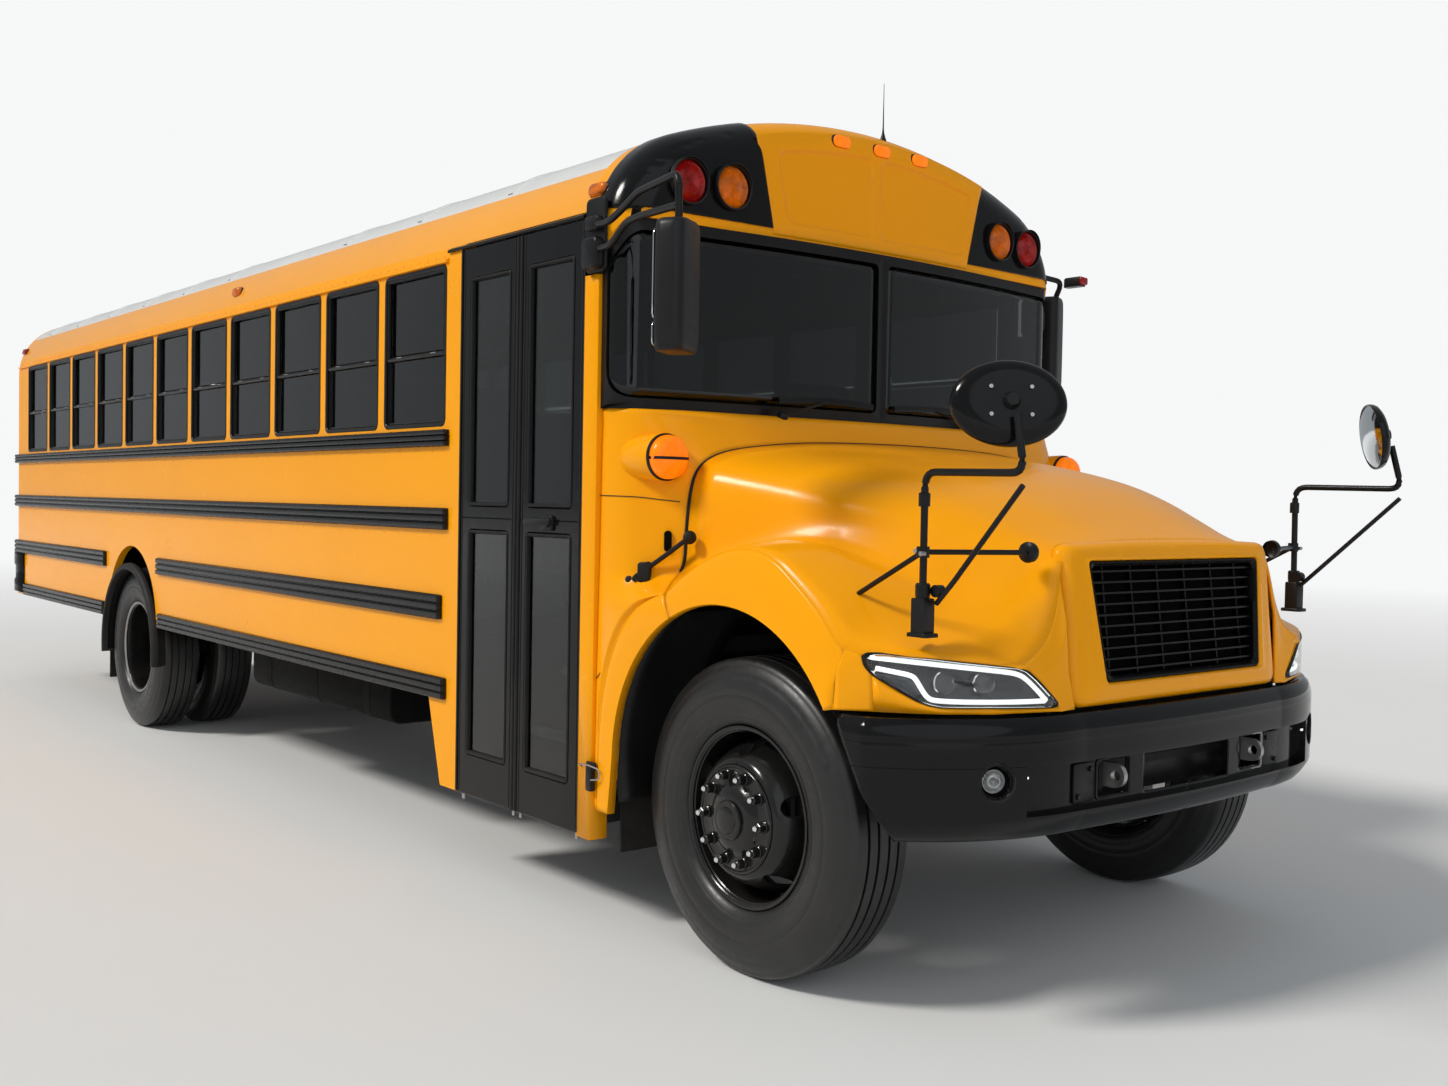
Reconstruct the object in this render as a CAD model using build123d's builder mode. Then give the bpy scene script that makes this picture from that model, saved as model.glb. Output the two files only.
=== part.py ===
from build123d import *
import math
import os

os.makedirs("parts", exist_ok=True)

# Millimetres. X points forward, Y to the bus's left, Z up, with the ground at zero.
# Stations are distances ahead of the front axle.
front_axle_x = 4048.6
wheelbase = 6082
axle_height = 520
rear_axle = -wheelbase

# Body shell
body_half_width = 1219
wall_thickness = 45
roof_top = 3045
crown_radius = 2700
shoulder_radius = 430
roof_foot = 2580
skirt_foot = 690
body_rear = -9130
end_depth = 120
cap_rear = -830
cap_front = -540
cap_edge_radius = 130
cap_bow = 40
floor_top = 1030
floor_thickness = 60

# Side windows
window_pitch = 635
window_count = 11
first_window = -2125
window_width = 565
window_low = 1842
window_high = 2512
frame_width = 26
frame_depth = 30
sash_height = 2150
glass_thickness = 6

# Entrance door
door_rear = -1698
door_front = -808
door_low = 325
door_high = 2552
leaf_thickness = 36
leaf_gap = 4
meeting_gap = 6

# Wheels
tyre_radius = 520
tyre_width = 280
rim_radius = 286
front_tyre_y = 995
rear_outer_y = 1060
dual_spacing = 343
kingpin_y = 880

# Rear wheel arch
arch_height = 675
arch_radius = 510
flare_radius = 557

# Hood
front_arch_station = -20
front_arch_height = 636
front_arch_radius = 578
fender_half_width = 1217
fender_skin = 14
hood_thickness = 28
nose_station = 915
nose_height = 950
nose_lean = 7


def level(z):
    """A level plane at height z; its local x is the station."""
    return Plane(origin=(front_axle_x, 0, z))


def flank(y):
    """An upright lengthwise plane at y, drawn as station and height, extruding towards -Y."""
    return Plane(origin=(front_axle_x, y, 0), x_dir=(1, 0, 0), z_dir=(0, -1, 0))


def station(x):
    """An upright crosswise plane at a station, drawn as y and height, extruding forward."""
    return Plane(origin=(front_axle_x + x, 0, 0), x_dir=(0, 1, 0), z_dir=(1, 0, 0))


def place(x, y, z):
    """A point at a station."""
    return (front_axle_x + x, y, z)


def slab(x_from, x_to, y_from, y_to, z_from, z_to, mode=Mode.ADD):
    """A block between two corners, in the part being built."""
    with Locations(place((x_from + x_to) / 2, (y_from + y_to) / 2, (z_from + z_to) / 2)):
        Box(abs(x_to - x_from), abs(y_to - y_from), abs(z_to - z_from), mode=mode)


def rod(start, end, radius, mode=Mode.ADD):
    """A straight round bar between two points, in the part being built."""
    axis = Vector(*place(*end)) - Vector(*place(*start))
    with BuildSketch(Plane(origin=place(*start), z_dir=axis)) as disc:
        Circle(radius)
    extrude(disc.sketch, amount=axis.length, mode=mode)


def bent_tube(points, radius, bend):
    """A round tube along straight runs joined by bends, in the part being built."""
    with BuildLine() as path:
        FilletPolyline(*[place(*point) for point in points], radius=bend)
    with BuildSketch(Plane(origin=path.line @ 0, z_dir=path.line % 0)) as disc:
        Circle(radius)
    sweep(disc.sketch, path=path.line)


def keep(piece, name):
    """Label a finished piece and write its file."""
    piece.part.label = name
    export_step(piece.part, f"parts/{name}.step")


def body_section(inset, low):
    """The body's cross-section inside a sketch: upright sides, round shoulders and a crown."""
    crown_centre = roof_top - crown_radius
    shoulder_y = body_half_width - shoulder_radius
    reach = crown_radius - shoulder_radius
    shoulder_z = crown_centre + math.sqrt(reach**2 - shoulder_y**2)
    turn = math.atan2(shoulder_z - crown_centre, shoulder_y)
    radius = shoulder_radius - inset
    side = body_half_width - inset
    top = roof_top - inset
    joint = (shoulder_y + radius * math.cos(turn), shoulder_z + radius * math.sin(turn))
    middle = (shoulder_y + radius * math.cos(turn / 2), shoulder_z + radius * math.sin(turn / 2))
    with BuildLine() as outline:
        Polyline((-side, shoulder_z), (-side, low), (side, low), (side, shoulder_z))
        ThreePointArc((side, shoulder_z), middle, joint)
        ThreePointArc(joint, (0, top), (-joint[0], joint[1]))
        ThreePointArc((-joint[0], joint[1]), (-middle[0], middle[1]), (-side, shoulder_z))
    make_face(outline.edges())


def ring_section(low, high):
    """The wall and roof sheet between two heights, inside a sketch."""
    body_section(0, 0)
    with BuildSketch(mode=Mode.PRIVATE) as inner:
        body_section(wall_thickness, -100)
    add(inner.sketch, mode=Mode.SUBTRACT)
    with Locations((0, (low + high) / 2)):
        Rectangle(2 * body_half_width + 10, high - low, mode=Mode.INTERSECT)


windows = [first_window - window_pitch * index for index in range(window_count)]
window_middle = (window_low + window_high) / 2
window_height = window_high - window_low
driver_window = (-1290, 800)

# Chassis
rail_outside = 430
rail_inside = 352
rail_low = 620
rail_high = 875
rail_sheet = 10
rail_rear = -9060
rail_front = 815
crossmembers = (-9000, -8100, -7250, -6700, -5450, -4300, -3100, -2000, -1400, 778)

with BuildPart() as chassis_frame:
    for side in (1, -1):
        slab(rail_rear, rail_front, side * (rail_outside - rail_sheet), side * rail_outside, rail_low, rail_high)
        for foot in (rail_low, rail_high - rail_sheet):
            slab(rail_rear, rail_front, side * rail_inside, side * rail_outside, foot, foot + rail_sheet)
    for middle in crossmembers:
        slab(middle - 35, middle + 35, -rail_outside + 5, rail_outside - 5, rail_low + 100, rail_high - 40)
keep(chassis_frame, "chassis_frame")

# Floor with its cross sills and wheelhouses
well_inside = -500
wheelhouse_half = 640
wheelhouse_top = 1230
wheelhouse_y = 545
sheet = 15
inner_wall = body_half_width - wall_thickness
floor_rear = body_rear + wall_thickness
floor_front = -655
floor_low = floor_top - floor_thickness
sills = [-8700 + 700 * index for index in range(11)]

with BuildPart() as cabin_floor:
    slab(floor_rear, floor_front, -inner_wall, inner_wall, floor_low, floor_top)
    for middle in sills:
        if abs(middle - rear_axle) > wheelhouse_half:
            slab(middle - 40, middle + 40, -inner_wall, inner_wall, rail_high, floor_low)
    slab(door_rear, door_front + 8, -inner_wall - 5, well_inside, rail_high - 5, floor_top + 5, Mode.SUBTRACT)
    for side in (1, -1):
        slab(-750, floor_front + 5, side * 1080, side * (inner_wall + 5), floor_low - 5, floor_top + 5,
             Mode.SUBTRACT)
        slab(rear_axle - wheelhouse_half, rear_axle + wheelhouse_half, side * wheelhouse_y,
             side * inner_wall, floor_low, wheelhouse_top)
        slab(rear_axle - wheelhouse_half + sheet, rear_axle + wheelhouse_half - sheet,
             side * (wheelhouse_y + sheet), side * (inner_wall + 5), rail_high - 5,
             wheelhouse_top - sheet, Mode.SUBTRACT)
keep(cabin_floor, "cabin_floor")

# Entrance steps: three treads down from the floor to the door
step_rise = 225
step_low = 345
step_depth = (inner_wall + well_inside - sheet) / 3
with BuildPart() as entrance_steps:
    outside = -inner_wall
    for index in range(3):
        tread_y = outside + step_depth * index
        tread_z = step_low + step_rise * index
        slab(door_rear, door_front, tread_y, tread_y + step_depth + sheet, tread_z, tread_z + 20)
        slab(door_rear, door_front, tread_y + step_depth, tread_y + step_depth + sheet, tread_z,
             min(tread_z + step_rise + 20, floor_low))
    for end in (door_rear, door_front - sheet):
        slab(end, end + sheet, outside, well_inside, step_low, floor_low)
keep(entrance_steps, "entrance_steps")


def wall_blank(side, wall_rear, wall_front):
    """One side wall sheet, full length, before its openings are cut."""
    with BuildSketch(station(wall_rear)) as sheet_section:
        ring_section(skirt_foot, roof_foot)
        with Locations((side * body_half_width, roof_top / 2)):
            Rectangle(body_half_width, 2 * roof_top, mode=Mode.INTERSECT)
    extrude(sheet_section.sketch, amount=wall_front - wall_rear)


def cut_side_openings(side):
    """The window row and the rear wheel arch, cut through one side wall."""
    with BuildSketch(flank(side * body_half_width + 60)) as openings:
        for middle in windows:
            with Locations((middle, window_middle)):
                RectangleRounded(window_width, window_height, 30)
        with Locations((rear_axle, arch_height)):
            Circle(arch_radius)
        with Locations((rear_axle, arch_height - arch_radius)):
            Rectangle(2 * arch_radius, 2 * arch_radius)
    extrude(openings.sketch, amount=160, mode=Mode.SUBTRACT)


wall_rear = body_rear + end_depth
with BuildPart() as side_wall_right:
    wall_blank(-1, wall_rear, door_rear - 6)
    with BuildSketch(flank(-inner_wall)):
        with BuildLine():
            Polyline((-1959, skirt_foot), (-1850, 327), (door_rear - 6, 327), (door_rear - 6, skirt_foot),
                     close=True)
        make_face()
    extrude(amount=wall_thickness)
    cut_side_openings(-1)
keep(side_wall_right, "side_wall_right")

with BuildPart() as side_wall_left:
    wall_blank(1, wall_rear, door_front + 4)
    cut_side_openings(1)
    with BuildSketch(flank(body_half_width + 60)):
        with Locations((driver_window[0], window_middle)):
            RectangleRounded(driver_window[1], window_height, 30)
    extrude(amount=160, mode=Mode.SUBTRACT)
keep(side_wall_left, "side_wall_left")

# Roof with one hatch opening
hatch_station = -3700
hatch_length = 640
hatch_width = 620
with BuildPart() as roof:
    with BuildSketch(station(wall_rear)):
        ring_section(roof_foot, roof_top + 10)
    extrude(amount=cap_rear - wall_rear)
    slab(hatch_station - hatch_length / 2, hatch_station + hatch_length / 2, -hatch_width / 2,
         hatch_width / 2, roof_top - 200, roof_top + 50, Mode.SUBTRACT)
keep(roof, "roof")

with BuildPart() as roof_hatch:
    slab(hatch_station - hatch_length / 2 - 40, hatch_station + hatch_length / 2 + 40,
         -hatch_width / 2 - 40, hatch_width / 2 + 40, roof_top + 2, roof_top + 38)
    fillet(roof_hatch.edges().group_by(Axis.Z)[-1], 15)
keep(roof_hatch, "roof_hatch")

# Rear end with the emergency door opening and its windows
rear_door_half = 450
rear_door_low = 1050
rear_door_high = 2500
rear_window = (820, 480)
with BuildPart() as rear_wall:
    with BuildSketch(station(body_rear)):
        body_section(0, skirt_foot)
    extrude(amount=end_depth)
    fillet(rear_wall.faces().sort_by(Axis.X)[0].edges().sort_by(Axis.Z)[1:], 60)
    with BuildSketch(station(body_rear + wall_thickness)):
        body_section(wall_thickness, skirt_foot - 10)
    extrude(amount=end_depth, mode=Mode.SUBTRACT)
    slab(body_rear - 10, body_rear + end_depth, -rear_door_half - 8, rear_door_half + 8,
         rear_door_low - 8, rear_door_high + 8, Mode.SUBTRACT)
    for side in (1, -1):
        slab(body_rear - 10, body_rear + end_depth, side * (rear_window[0] - rear_window[1] / 2),
             side * (rear_window[0] + rear_window[1] / 2), window_low, window_high - 60, Mode.SUBTRACT)
keep(rear_wall, "rear_wall")

# Front cap over the windshield
cap_foot = 2540
cap_corner = ((-750, 2350), (-610, cap_foot))
marker_lamps = (-222, 0, 222)
with BuildPart() as front_cap:
    with BuildSketch(station(cap_rear)):
        body_section(0, 2300)
    extrude(amount=cap_front - cap_rear)
    with BuildSketch(level(0)):
        with BuildLine():
            ThreePointArc((cap_front - cap_bow, -body_half_width), (cap_front, 0),
                          (cap_front - cap_bow, body_half_width))
            Polyline((cap_front - cap_bow, body_half_width), (cap_rear - 10, body_half_width),
                     (cap_rear - 10, -body_half_width), (cap_front - cap_bow, -body_half_width))
        make_face()
    extrude(amount=roof_top + 100, mode=Mode.INTERSECT)
    fillet(front_cap.faces().sort_by(Axis.X)[-1].edges().sort_by(Axis.Z)[1:], cap_edge_radius)
    with BuildSketch(station(cap_rear)):
        body_section(wall_thickness, 2200)
    extrude(amount=cap_front - cap_rear - wall_thickness, mode=Mode.SUBTRACT)
    slab(cap_rear - 10, -700, -body_half_width - 10, body_half_width + 10, 2100, roof_foot, Mode.SUBTRACT)
    with BuildSketch(flank(body_half_width + 10)):
        with BuildLine():
            Polyline((-750, 2100), *cap_corner, (cap_front + 10, cap_foot), (cap_front + 10, 2100), close=True)
        make_face()
    extrude(amount=2 * body_half_width + 20, mode=Mode.SUBTRACT)
    rod((-615, 96, 2900), (-615, 96, 3100), 14, Mode.SUBTRACT)
    for y in marker_lamps:
        slab(-562, -510, y - 46, y + 46, 2929, 2971, Mode.SUBTRACT)
keep(front_cap, "front_cap")


def glass_plan(inset):
    """The windshield's plan line, from the right corner round the front to the left one."""
    side_y = 1205 - inset
    corner_y = 1095
    return [(-745, side_y), (-690, side_y), (-592 - inset, corner_y), (-505 - inset, 0)]


def windshield_sheet(low, high, outer, inner):
    """A bowed upright sheet behind the windshield's plan line, between two insets."""
    with BuildSketch(level(low)) as plan:
        for inset, mode in ((outer, Mode.ADD), (inner, Mode.SUBTRACT)):
            end, bend, corner, middle = glass_plan(inset)
            with BuildLine() as outline:
                Line((end[0], -end[1]), (bend[0], -bend[1]))
                TangentArc((bend[0], -bend[1]), (corner[0], -corner[1]), tangent=(1, 0))
                ThreePointArc((corner[0], -corner[1]), middle, corner)
                TangentArc(bend, corner, tangent=(1, 0))
                Line(bend, end)
                Line(end, (end[0], -end[1]))
            make_face(outline.edges(), mode=mode)
    extrude(plan.sketch, amount=high - low)


glass_low = 1868
glass_high = 2538
pane_low = 1905
pane_high = 2500
pane_inner = 22
pane_outer = 1168
with BuildPart() as windshield_frame:
    windshield_sheet(glass_low, glass_high, 0, 30)
    with BuildSketch(station(-800)):
        for side in (1, -1):
            with Locations((side * (pane_inner + pane_outer) / 2, (pane_low + pane_high) / 2)):
                RectangleRounded(pane_outer - pane_inner, pane_high - pane_low, 60)
    extrude(amount=400, mode=Mode.SUBTRACT)
    with BuildSketch(flank(body_half_width + 10)):
        with BuildLine():
            Polyline((-760, 2336), (-750, 2346), (-606, cap_foot + 1), (-760, cap_foot + 1), close=True)
        make_face()
    extrude(amount=2 * body_half_width + 20, mode=Mode.SUBTRACT)
keep(windshield_frame, "windshield_frame")

with BuildPart() as windshield:
    windshield_sheet(pane_low, pane_high, 8, 16)
    with BuildSketch(station(-800)):
        for side in (1, -1):
            with Locations((side * (pane_inner + pane_outer) / 2, (pane_low + pane_high) / 2)):
                RectangleRounded(pane_outer - pane_inner, pane_high - pane_low, 60)
    extrude(amount=400, mode=Mode.INTERSECT)
keep(windshield, "windshield")

# Cowl plan lines
turn_lamp = (-443, 1117, 1694)
turn_radius = 78
cowl_low = 880
cowl_step = 1345
cowl_top = 1810
cowl_sheet = 30
cowl_plans = (
    # low, high, plan line from the pillar forward to the middle
    (cowl_low, cowl_step, ((-745, 1200), (-700, 1195), (-692, 1150), (-464, 1040), (-435, 0))),
    (cowl_step, cowl_top, ((-745, 1195), (-640, 1185), (-464, 1090), (-435, 600), (-430, 0))),
)
panel_inside = 1192
rear_band_radius = 700
panel_seam = ((-407, 1400), (-407, 1255), (-338, 1229), (-272, 1145))
ledge_plan = ((-745, 1195), (-640, 1190), (-464, 1147), (-410, 600), (-405, 0))


def mirrored(line):
    """A plan line on the left side continued with its mirror image on the right."""
    return [*line, *[(x, -y) for x, y in reversed(line[:-1])]]


# Window frames and glass: one row each side, the driver's window and the rear windows
frame_inset = 8
with BuildPart() as window_frames:
    for side in (1, -1):
        row = [(middle, window_width) for middle in windows]
        if side == 1:
            row.append(driver_window)
        with BuildSketch(flank(side * (body_half_width - frame_inset) + (0 if side == 1 else frame_depth))):
            for middle, width in row:
                with Locations((middle, window_middle)):
                    RectangleRounded(width, window_height, 30)
                    Rectangle(width - 2 * frame_width, window_height - 2 * frame_width, mode=Mode.SUBTRACT)
                with Locations((middle, sash_height)):
                    Rectangle(width - frame_width, 30)
        extrude(amount=frame_depth)
    for side in (1, -1):
        with BuildSketch(station(body_rear + 12)):
            with Locations((side * rear_window[0], (window_low + window_high - 60) / 2)):
                Rectangle(rear_window[1], window_high - 60 - window_low)
                Rectangle(rear_window[1] - 50, window_high - 110 - window_low, mode=Mode.SUBTRACT)
        extrude(amount=25)
keep(window_frames, "window_frames")

with BuildPart() as side_glass:
    for side in (1, -1):
        row = [(middle, window_width) for middle in windows]
        if side == 1:
            row.append(driver_window)
        pane_y = side * (body_half_width - 20) + (0 if side == 1 else glass_thickness)
        with BuildSketch(flank(pane_y)):
            for middle, width in row:
                for low, high in ((window_low + frame_width, sash_height - 15),
                                  (sash_height + 15, window_high - frame_width)):
                    with Locations((middle, (low + high) / 2)):
                        Rectangle(width - 2 * frame_width, high - low)
        extrude(amount=glass_thickness)
    for side in (1, -1):
        half = rear_window[1] / 2 - 25
        slab(body_rear + 20, body_rear + 26, side * (rear_window[0] - half), side * (rear_window[0] + half),
             window_low + 25, window_high - 85)
keep(side_glass, "side_glass")

# Rub rails: ribbed strips along both sides, some broken at the rear arch
rails = (
    # low, high, rear end, front end, rear and front of the gap at the arch
    (1754, 1824, -9120, -1805, None),
    (1404, 1496, -9120, -1805, None),
    (1026, 1130, -9120, -1850, 545),
    (692, 784, -8840, -1805, 575),
)
rail_proud = 22
rail_rib = 8
with BuildPart() as rub_rails:
    for side in (1, -1):
        for low, high, rear, front, gap in rails:
            runs = [(rear, front)] if gap is None else [(rear, rear_axle - gap), (rear_axle + gap, front)]
            for start, end in runs:
                inner = side * (body_half_width + 0.3)
                slab(start, end, inner, side * (body_half_width + rail_proud - rail_rib), low, high)
                for index in range(3):
                    middle = low + (high - low) * (index + 0.5) / 3
                    slab(start, end, inner, side * (body_half_width + rail_proud), middle - 9, middle + 9)
keep(rub_rails, "rub_rails")

# Rubber flares round the rear arches, and mud flaps
flare_proud = 38
with BuildPart() as arch_flares:
    for side in (1, -1):
        with BuildSketch(flank(side * body_half_width + (flare_proud if side == 1 else 0))):
            with Locations((rear_axle, arch_height)):
                Circle(flare_radius)
                Circle(arch_radius, mode=Mode.SUBTRACT)
            with Locations((rear_axle, arch_height - flare_radius)):
                Rectangle(2 * flare_radius + 10, 2 * flare_radius - 60, mode=Mode.SUBTRACT)
        extrude(amount=flare_proud)
keep(arch_flares, "arch_flares")

flap_thickness = 10
with BuildPart() as mud_flaps:
    for side in (1, -1):
        slab(rear_axle - wheelhouse_half - flap_thickness, rear_axle - wheelhouse_half, side * 560,
             side * 1165, 250, floor_low)
        slab(-690, -690 + flap_thickness, side * 850, side * 1110, 265, cowl_low)
keep(mud_flaps, "mud_flaps")

# Entrance door: two leaves that open outward from hinges at their outer edges
door_middle = (door_rear + door_front) / 2
leaf_y = -body_half_width
glass_bands = ((495, 1410), (1510, 2430))
stile = 62
for name, low_x, high_x in (("rear", door_rear + leaf_gap, door_middle - meeting_gap),
                            ("front", door_middle + meeting_gap, door_front - leaf_gap)):
    with BuildPart() as leaf:
        slab(low_x, high_x, leaf_y, leaf_y + leaf_thickness, door_low, door_high)
        for low, high in glass_bands:
            slab(low_x + stile, high_x - stile, leaf_y - 5, leaf_y + leaf_thickness + 5, low, high, Mode.SUBTRACT)
    keep(leaf, f"door_leaf_{name}")
    with BuildPart() as leaf_glass:
        for low, high in glass_bands:
            slab(low_x + stile, high_x - stile, leaf_y + 12, leaf_y + 12 + glass_thickness, low, high)
    keep(leaf_glass, f"door_glass_{name}")

# Rear emergency door with two panes
door_panes = ((1130, 1640), (1842, 2420))
pane_half = 340
door_face = body_rear - 4
with BuildPart() as emergency_door:
    slab(door_face, door_face + 40, -rear_door_half, rear_door_half, rear_door_low, rear_door_high)
    for low, high in door_panes:
        slab(door_face - 5, door_face + 50, -pane_half, pane_half, low, high, Mode.SUBTRACT)
keep(emergency_door, "emergency_door")
with BuildPart() as emergency_door_glass:
    for low, high in door_panes:
        slab(door_face + 14, door_face + 20, -pane_half, pane_half, low, high)
keep(emergency_door_glass, "emergency_door_glass")

# Hood with its fenders, hollow, arched over the front wheels
nose = Plane(origin=place(nose_station, 0, nose_height), x_dir=(0, 1, 0),
             z_dir=(math.cos(math.radians(nose_lean)), 0, math.sin(math.radians(nose_lean))))
grille_low = 62
grille_high = 442
grille_half_low = 437
grille_half_high = 484
grille_depth = 45
bar_count = 10


def grille_outline(grow):
    """The grille opening's outline on the nose plane, grown by a margin, inside a sketch."""
    with BuildLine() as outline:
        Polyline((-grille_half_low - grow, grille_low - grow), (grille_half_low + grow, grille_low - grow),
                 (grille_half_high + grow, grille_high + grow), (-grille_half_high - grow, grille_high + grow),
                 close=True)
    make_face(outline.edges())


hood_rear = -388
hood_sections = (
    # plane, foot height, foot half-width, shoulder height, crown edge half-width and height, middle height
    (station(hood_rear), 900, 1051, 1575, 905, 1717, 1776),
    (station(220), 900, 850, 1490, 700, 1625, 1684),
    (nose, -40, 606, 425, 520, 478, 497),
)
hood_foot = 942
hood_lip = 945
hood_seam = ((-330, 1236), (-262, 1152))


def hood_loft(inset):
    """The hood's middle: three crowned sections from the cowl to the nose."""
    faces = []
    for plane, foot, half, shoulder, edge, edge_height, middle in hood_sections:
        if inset and plane is nose:
            plane = nose.offset(-inset)
        with BuildSketch(plane) as section:
            with BuildLine():
                Line((-half + inset, foot - inset), (half - inset, foot - inset))
                Line((half - inset, foot - inset), (half - inset, shoulder - inset))
                TangentArc((half - inset, shoulder - inset), (edge - inset, edge_height - inset),
                           tangent=(0, 1))
                ThreePointArc((edge - inset, edge_height - inset), (0, middle - inset),
                              (inset - edge, edge_height - inset))
                TangentArc((-half + inset, shoulder - inset), (inset - edge, edge_height - inset),
                           tangent=(0, 1))
                Line((-half + inset, shoulder - inset), (-half + inset, foot - inset))
            make_face()
        faces.append(section.sketch)
    return loft(faces, mode=Mode.PRIVATE)


def fender_block(inset):
    """Both fenders: their side profile cut to their plan shape."""
    rear = -640 - 2 * inset
    foot = 450 - 2 * inset
    half = fender_half_width - (fender_skin if inset else 0)
    with BuildPart(mode=Mode.PRIVATE) as block:
        with BuildSketch(flank(half)):
            with BuildLine():
                Polyline((900 - inset, foot), (rear, foot), (rear, 950 - inset))
                ThreePointArc((rear, 950 - inset), (-540, 1165 - inset), (-300, 1300 - inset))
                ThreePointArc((-300, 1300 - inset), (30, 1345 - inset), (360, 1290 - inset))
                Polyline((360, 1290 - inset), (620, 1150 - inset), (885 - inset, 1080 - inset),
                         (900 - inset, foot))
            make_face()
        extrude(amount=2 * half)
        with BuildSketch(level(0)):
            with BuildLine():
                Polyline((-900, 0), (-900, half), (420, half))
                ThreePointArc((420, half), (700 - inset, 1030 - inset),
                              (885 - inset, 640))
                Polyline((885 - inset, 640), (885 - inset, 0), (-900, 0))
            make_face()
            mirror(about=Plane(origin=place(0, 0, 0), z_dir=(0, 1, 0)))
        extrude(amount=1600, mode=Mode.INTERSECT)
    return block.part


def headlamp_blank(grow):
    """Both headlamps' outline in front view, cut to the fender's plan line."""
    with BuildPart(mode=Mode.PRIVATE) as blank:
        with BuildSketch(station(380)):
            for side in (1, -1):
                with BuildLine():
                    Polyline((side * 661, 962), (side * 796, 1076), (side * 1130, 1102), (side * 1095, 990),
                             (side * 980, 956), close=True)
                make_face()
            if grow:
                offset(amount=grow)
        extrude(amount=600)
        with BuildSketch(level(0)):
            for side in (1, -1):
                with BuildLine():
                    Line((420, side * (1203 + grow)), (380, side * (1160 - grow)))
                    Line((380, side * (1160 - grow)), (640, side * (990 - grow)))
                    Line((640, side * (990 - grow)), (820 - grow, side * 600))
                    Line((820 - grow, side * 600), (887 + grow, side * 600))
                    ThreePointArc((887 + grow, side * 600), (706 + grow, side * (1034 + grow)),
                                  (420, side * (1203 + grow)))
                make_face()
        extrude(amount=1600, mode=Mode.INTERSECT)
    return blank.part


with BuildPart() as hood:
    add(hood_loft(0))
    add(fender_block(0))
    add(hood_loft(hood_thickness), mode=Mode.SUBTRACT)
    add(fender_block(hood_thickness), mode=Mode.SUBTRACT)
    slab(480, 1000, -1300, 1300, 300, hood_foot, Mode.SUBTRACT)
    slab(800, 1000, -700, 700, 300, hood_lip, Mode.SUBTRACT)
    with BuildSketch(flank(1300)):
        with Locations((front_arch_station, front_arch_height)):
            Circle(front_arch_radius)
        with Locations((front_arch_station, front_arch_height / 2)):
            Rectangle(2 * front_arch_radius, front_arch_height)
    extrude(amount=2600, mode=Mode.SUBTRACT)
    with BuildSketch(nose.offset(-100)):
        grille_outline(0)
    extrude(amount=200, mode=Mode.SUBTRACT)
    add(headlamp_blank(1.5), mode=Mode.SUBTRACT)
    with BuildSketch(flank(1300)):
        with BuildLine():
            Polyline((-900, 300), (-900, 1700), (-400, 1700), (-400, 1262), *hood_seam, (hood_seam[-1][0], 300),
                     close=True)
        make_face()
    extrude(amount=2600, mode=Mode.SUBTRACT)
    slab(-760, hood_rear, fender_skin - fender_half_width, fender_half_width - fender_skin, 300, 1700,
         Mode.SUBTRACT)
keep(hood, "hood")

# Cowl: pillars, side panels, the ledge, the firewall and the fixed rear of each front wheel arch
with BuildPart() as cowl:
    for side in (1, -1):
        slab(door_front + 4, -745, side * inner_wall, side * body_half_width, 315, roof_foot)
        slab(-745, -700, side * (inner_wall - 10), side * 1200, 315, cowl_low)
        slab(-745, -700, side * (inner_wall - 10), side * 1200, cowl_top, glass_low)
        rod((-600, side * turn_lamp[1], turn_lamp[2]), (turn_lamp[0], side * turn_lamp[1], turn_lamp[2]),
            turn_radius + 4)
    for low, high, line in cowl_plans:
        with BuildSketch(level(low)):
            with BuildLine():
                Polyline(*mirrored(line), close=True)
            make_face()
            with BuildLine():
                inner_line = [(x - cowl_sheet, y - cowl_sheet if y else 0) for x, y in line]
                inner_line[0] = (-800, inner_line[0][1])
                Polyline(*mirrored(inner_line), close=True)
            make_face(mode=Mode.SUBTRACT)
        extrude(amount=high - low)
    with BuildSketch(level(cowl_top)):
        with BuildLine():
            Polyline(*mirrored(ledge_plan), close=True)
        make_face()
    extrude(amount=glass_low - cowl_top)
    for side_face in (fender_half_width, -panel_inside):
        with BuildSketch(flank(side_face)):
            with Locations((front_arch_station, front_arch_height)):
                Circle(rear_band_radius)
            with BuildLine():
                Polyline((-760, 450), (-760, 1400), *panel_seam, (panel_seam[-1][0], 450), close=True)
            make_face(mode=Mode.INTERSECT)
            with Locations((-700, 850)):
                Rectangle(90, 800)
        extrude(amount=fender_half_width - panel_inside)
    with BuildSketch(flank(fender_half_width + 50)):
        with Locations((front_arch_station, front_arch_height)):
            Circle(front_arch_radius)
        with Locations((front_arch_station, front_arch_height / 2)):
            Rectangle(2 * front_arch_radius, front_arch_height)
    extrude(amount=2 * fender_half_width + 100, mode=Mode.SUBTRACT)
keep(cowl, "cowl")

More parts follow.
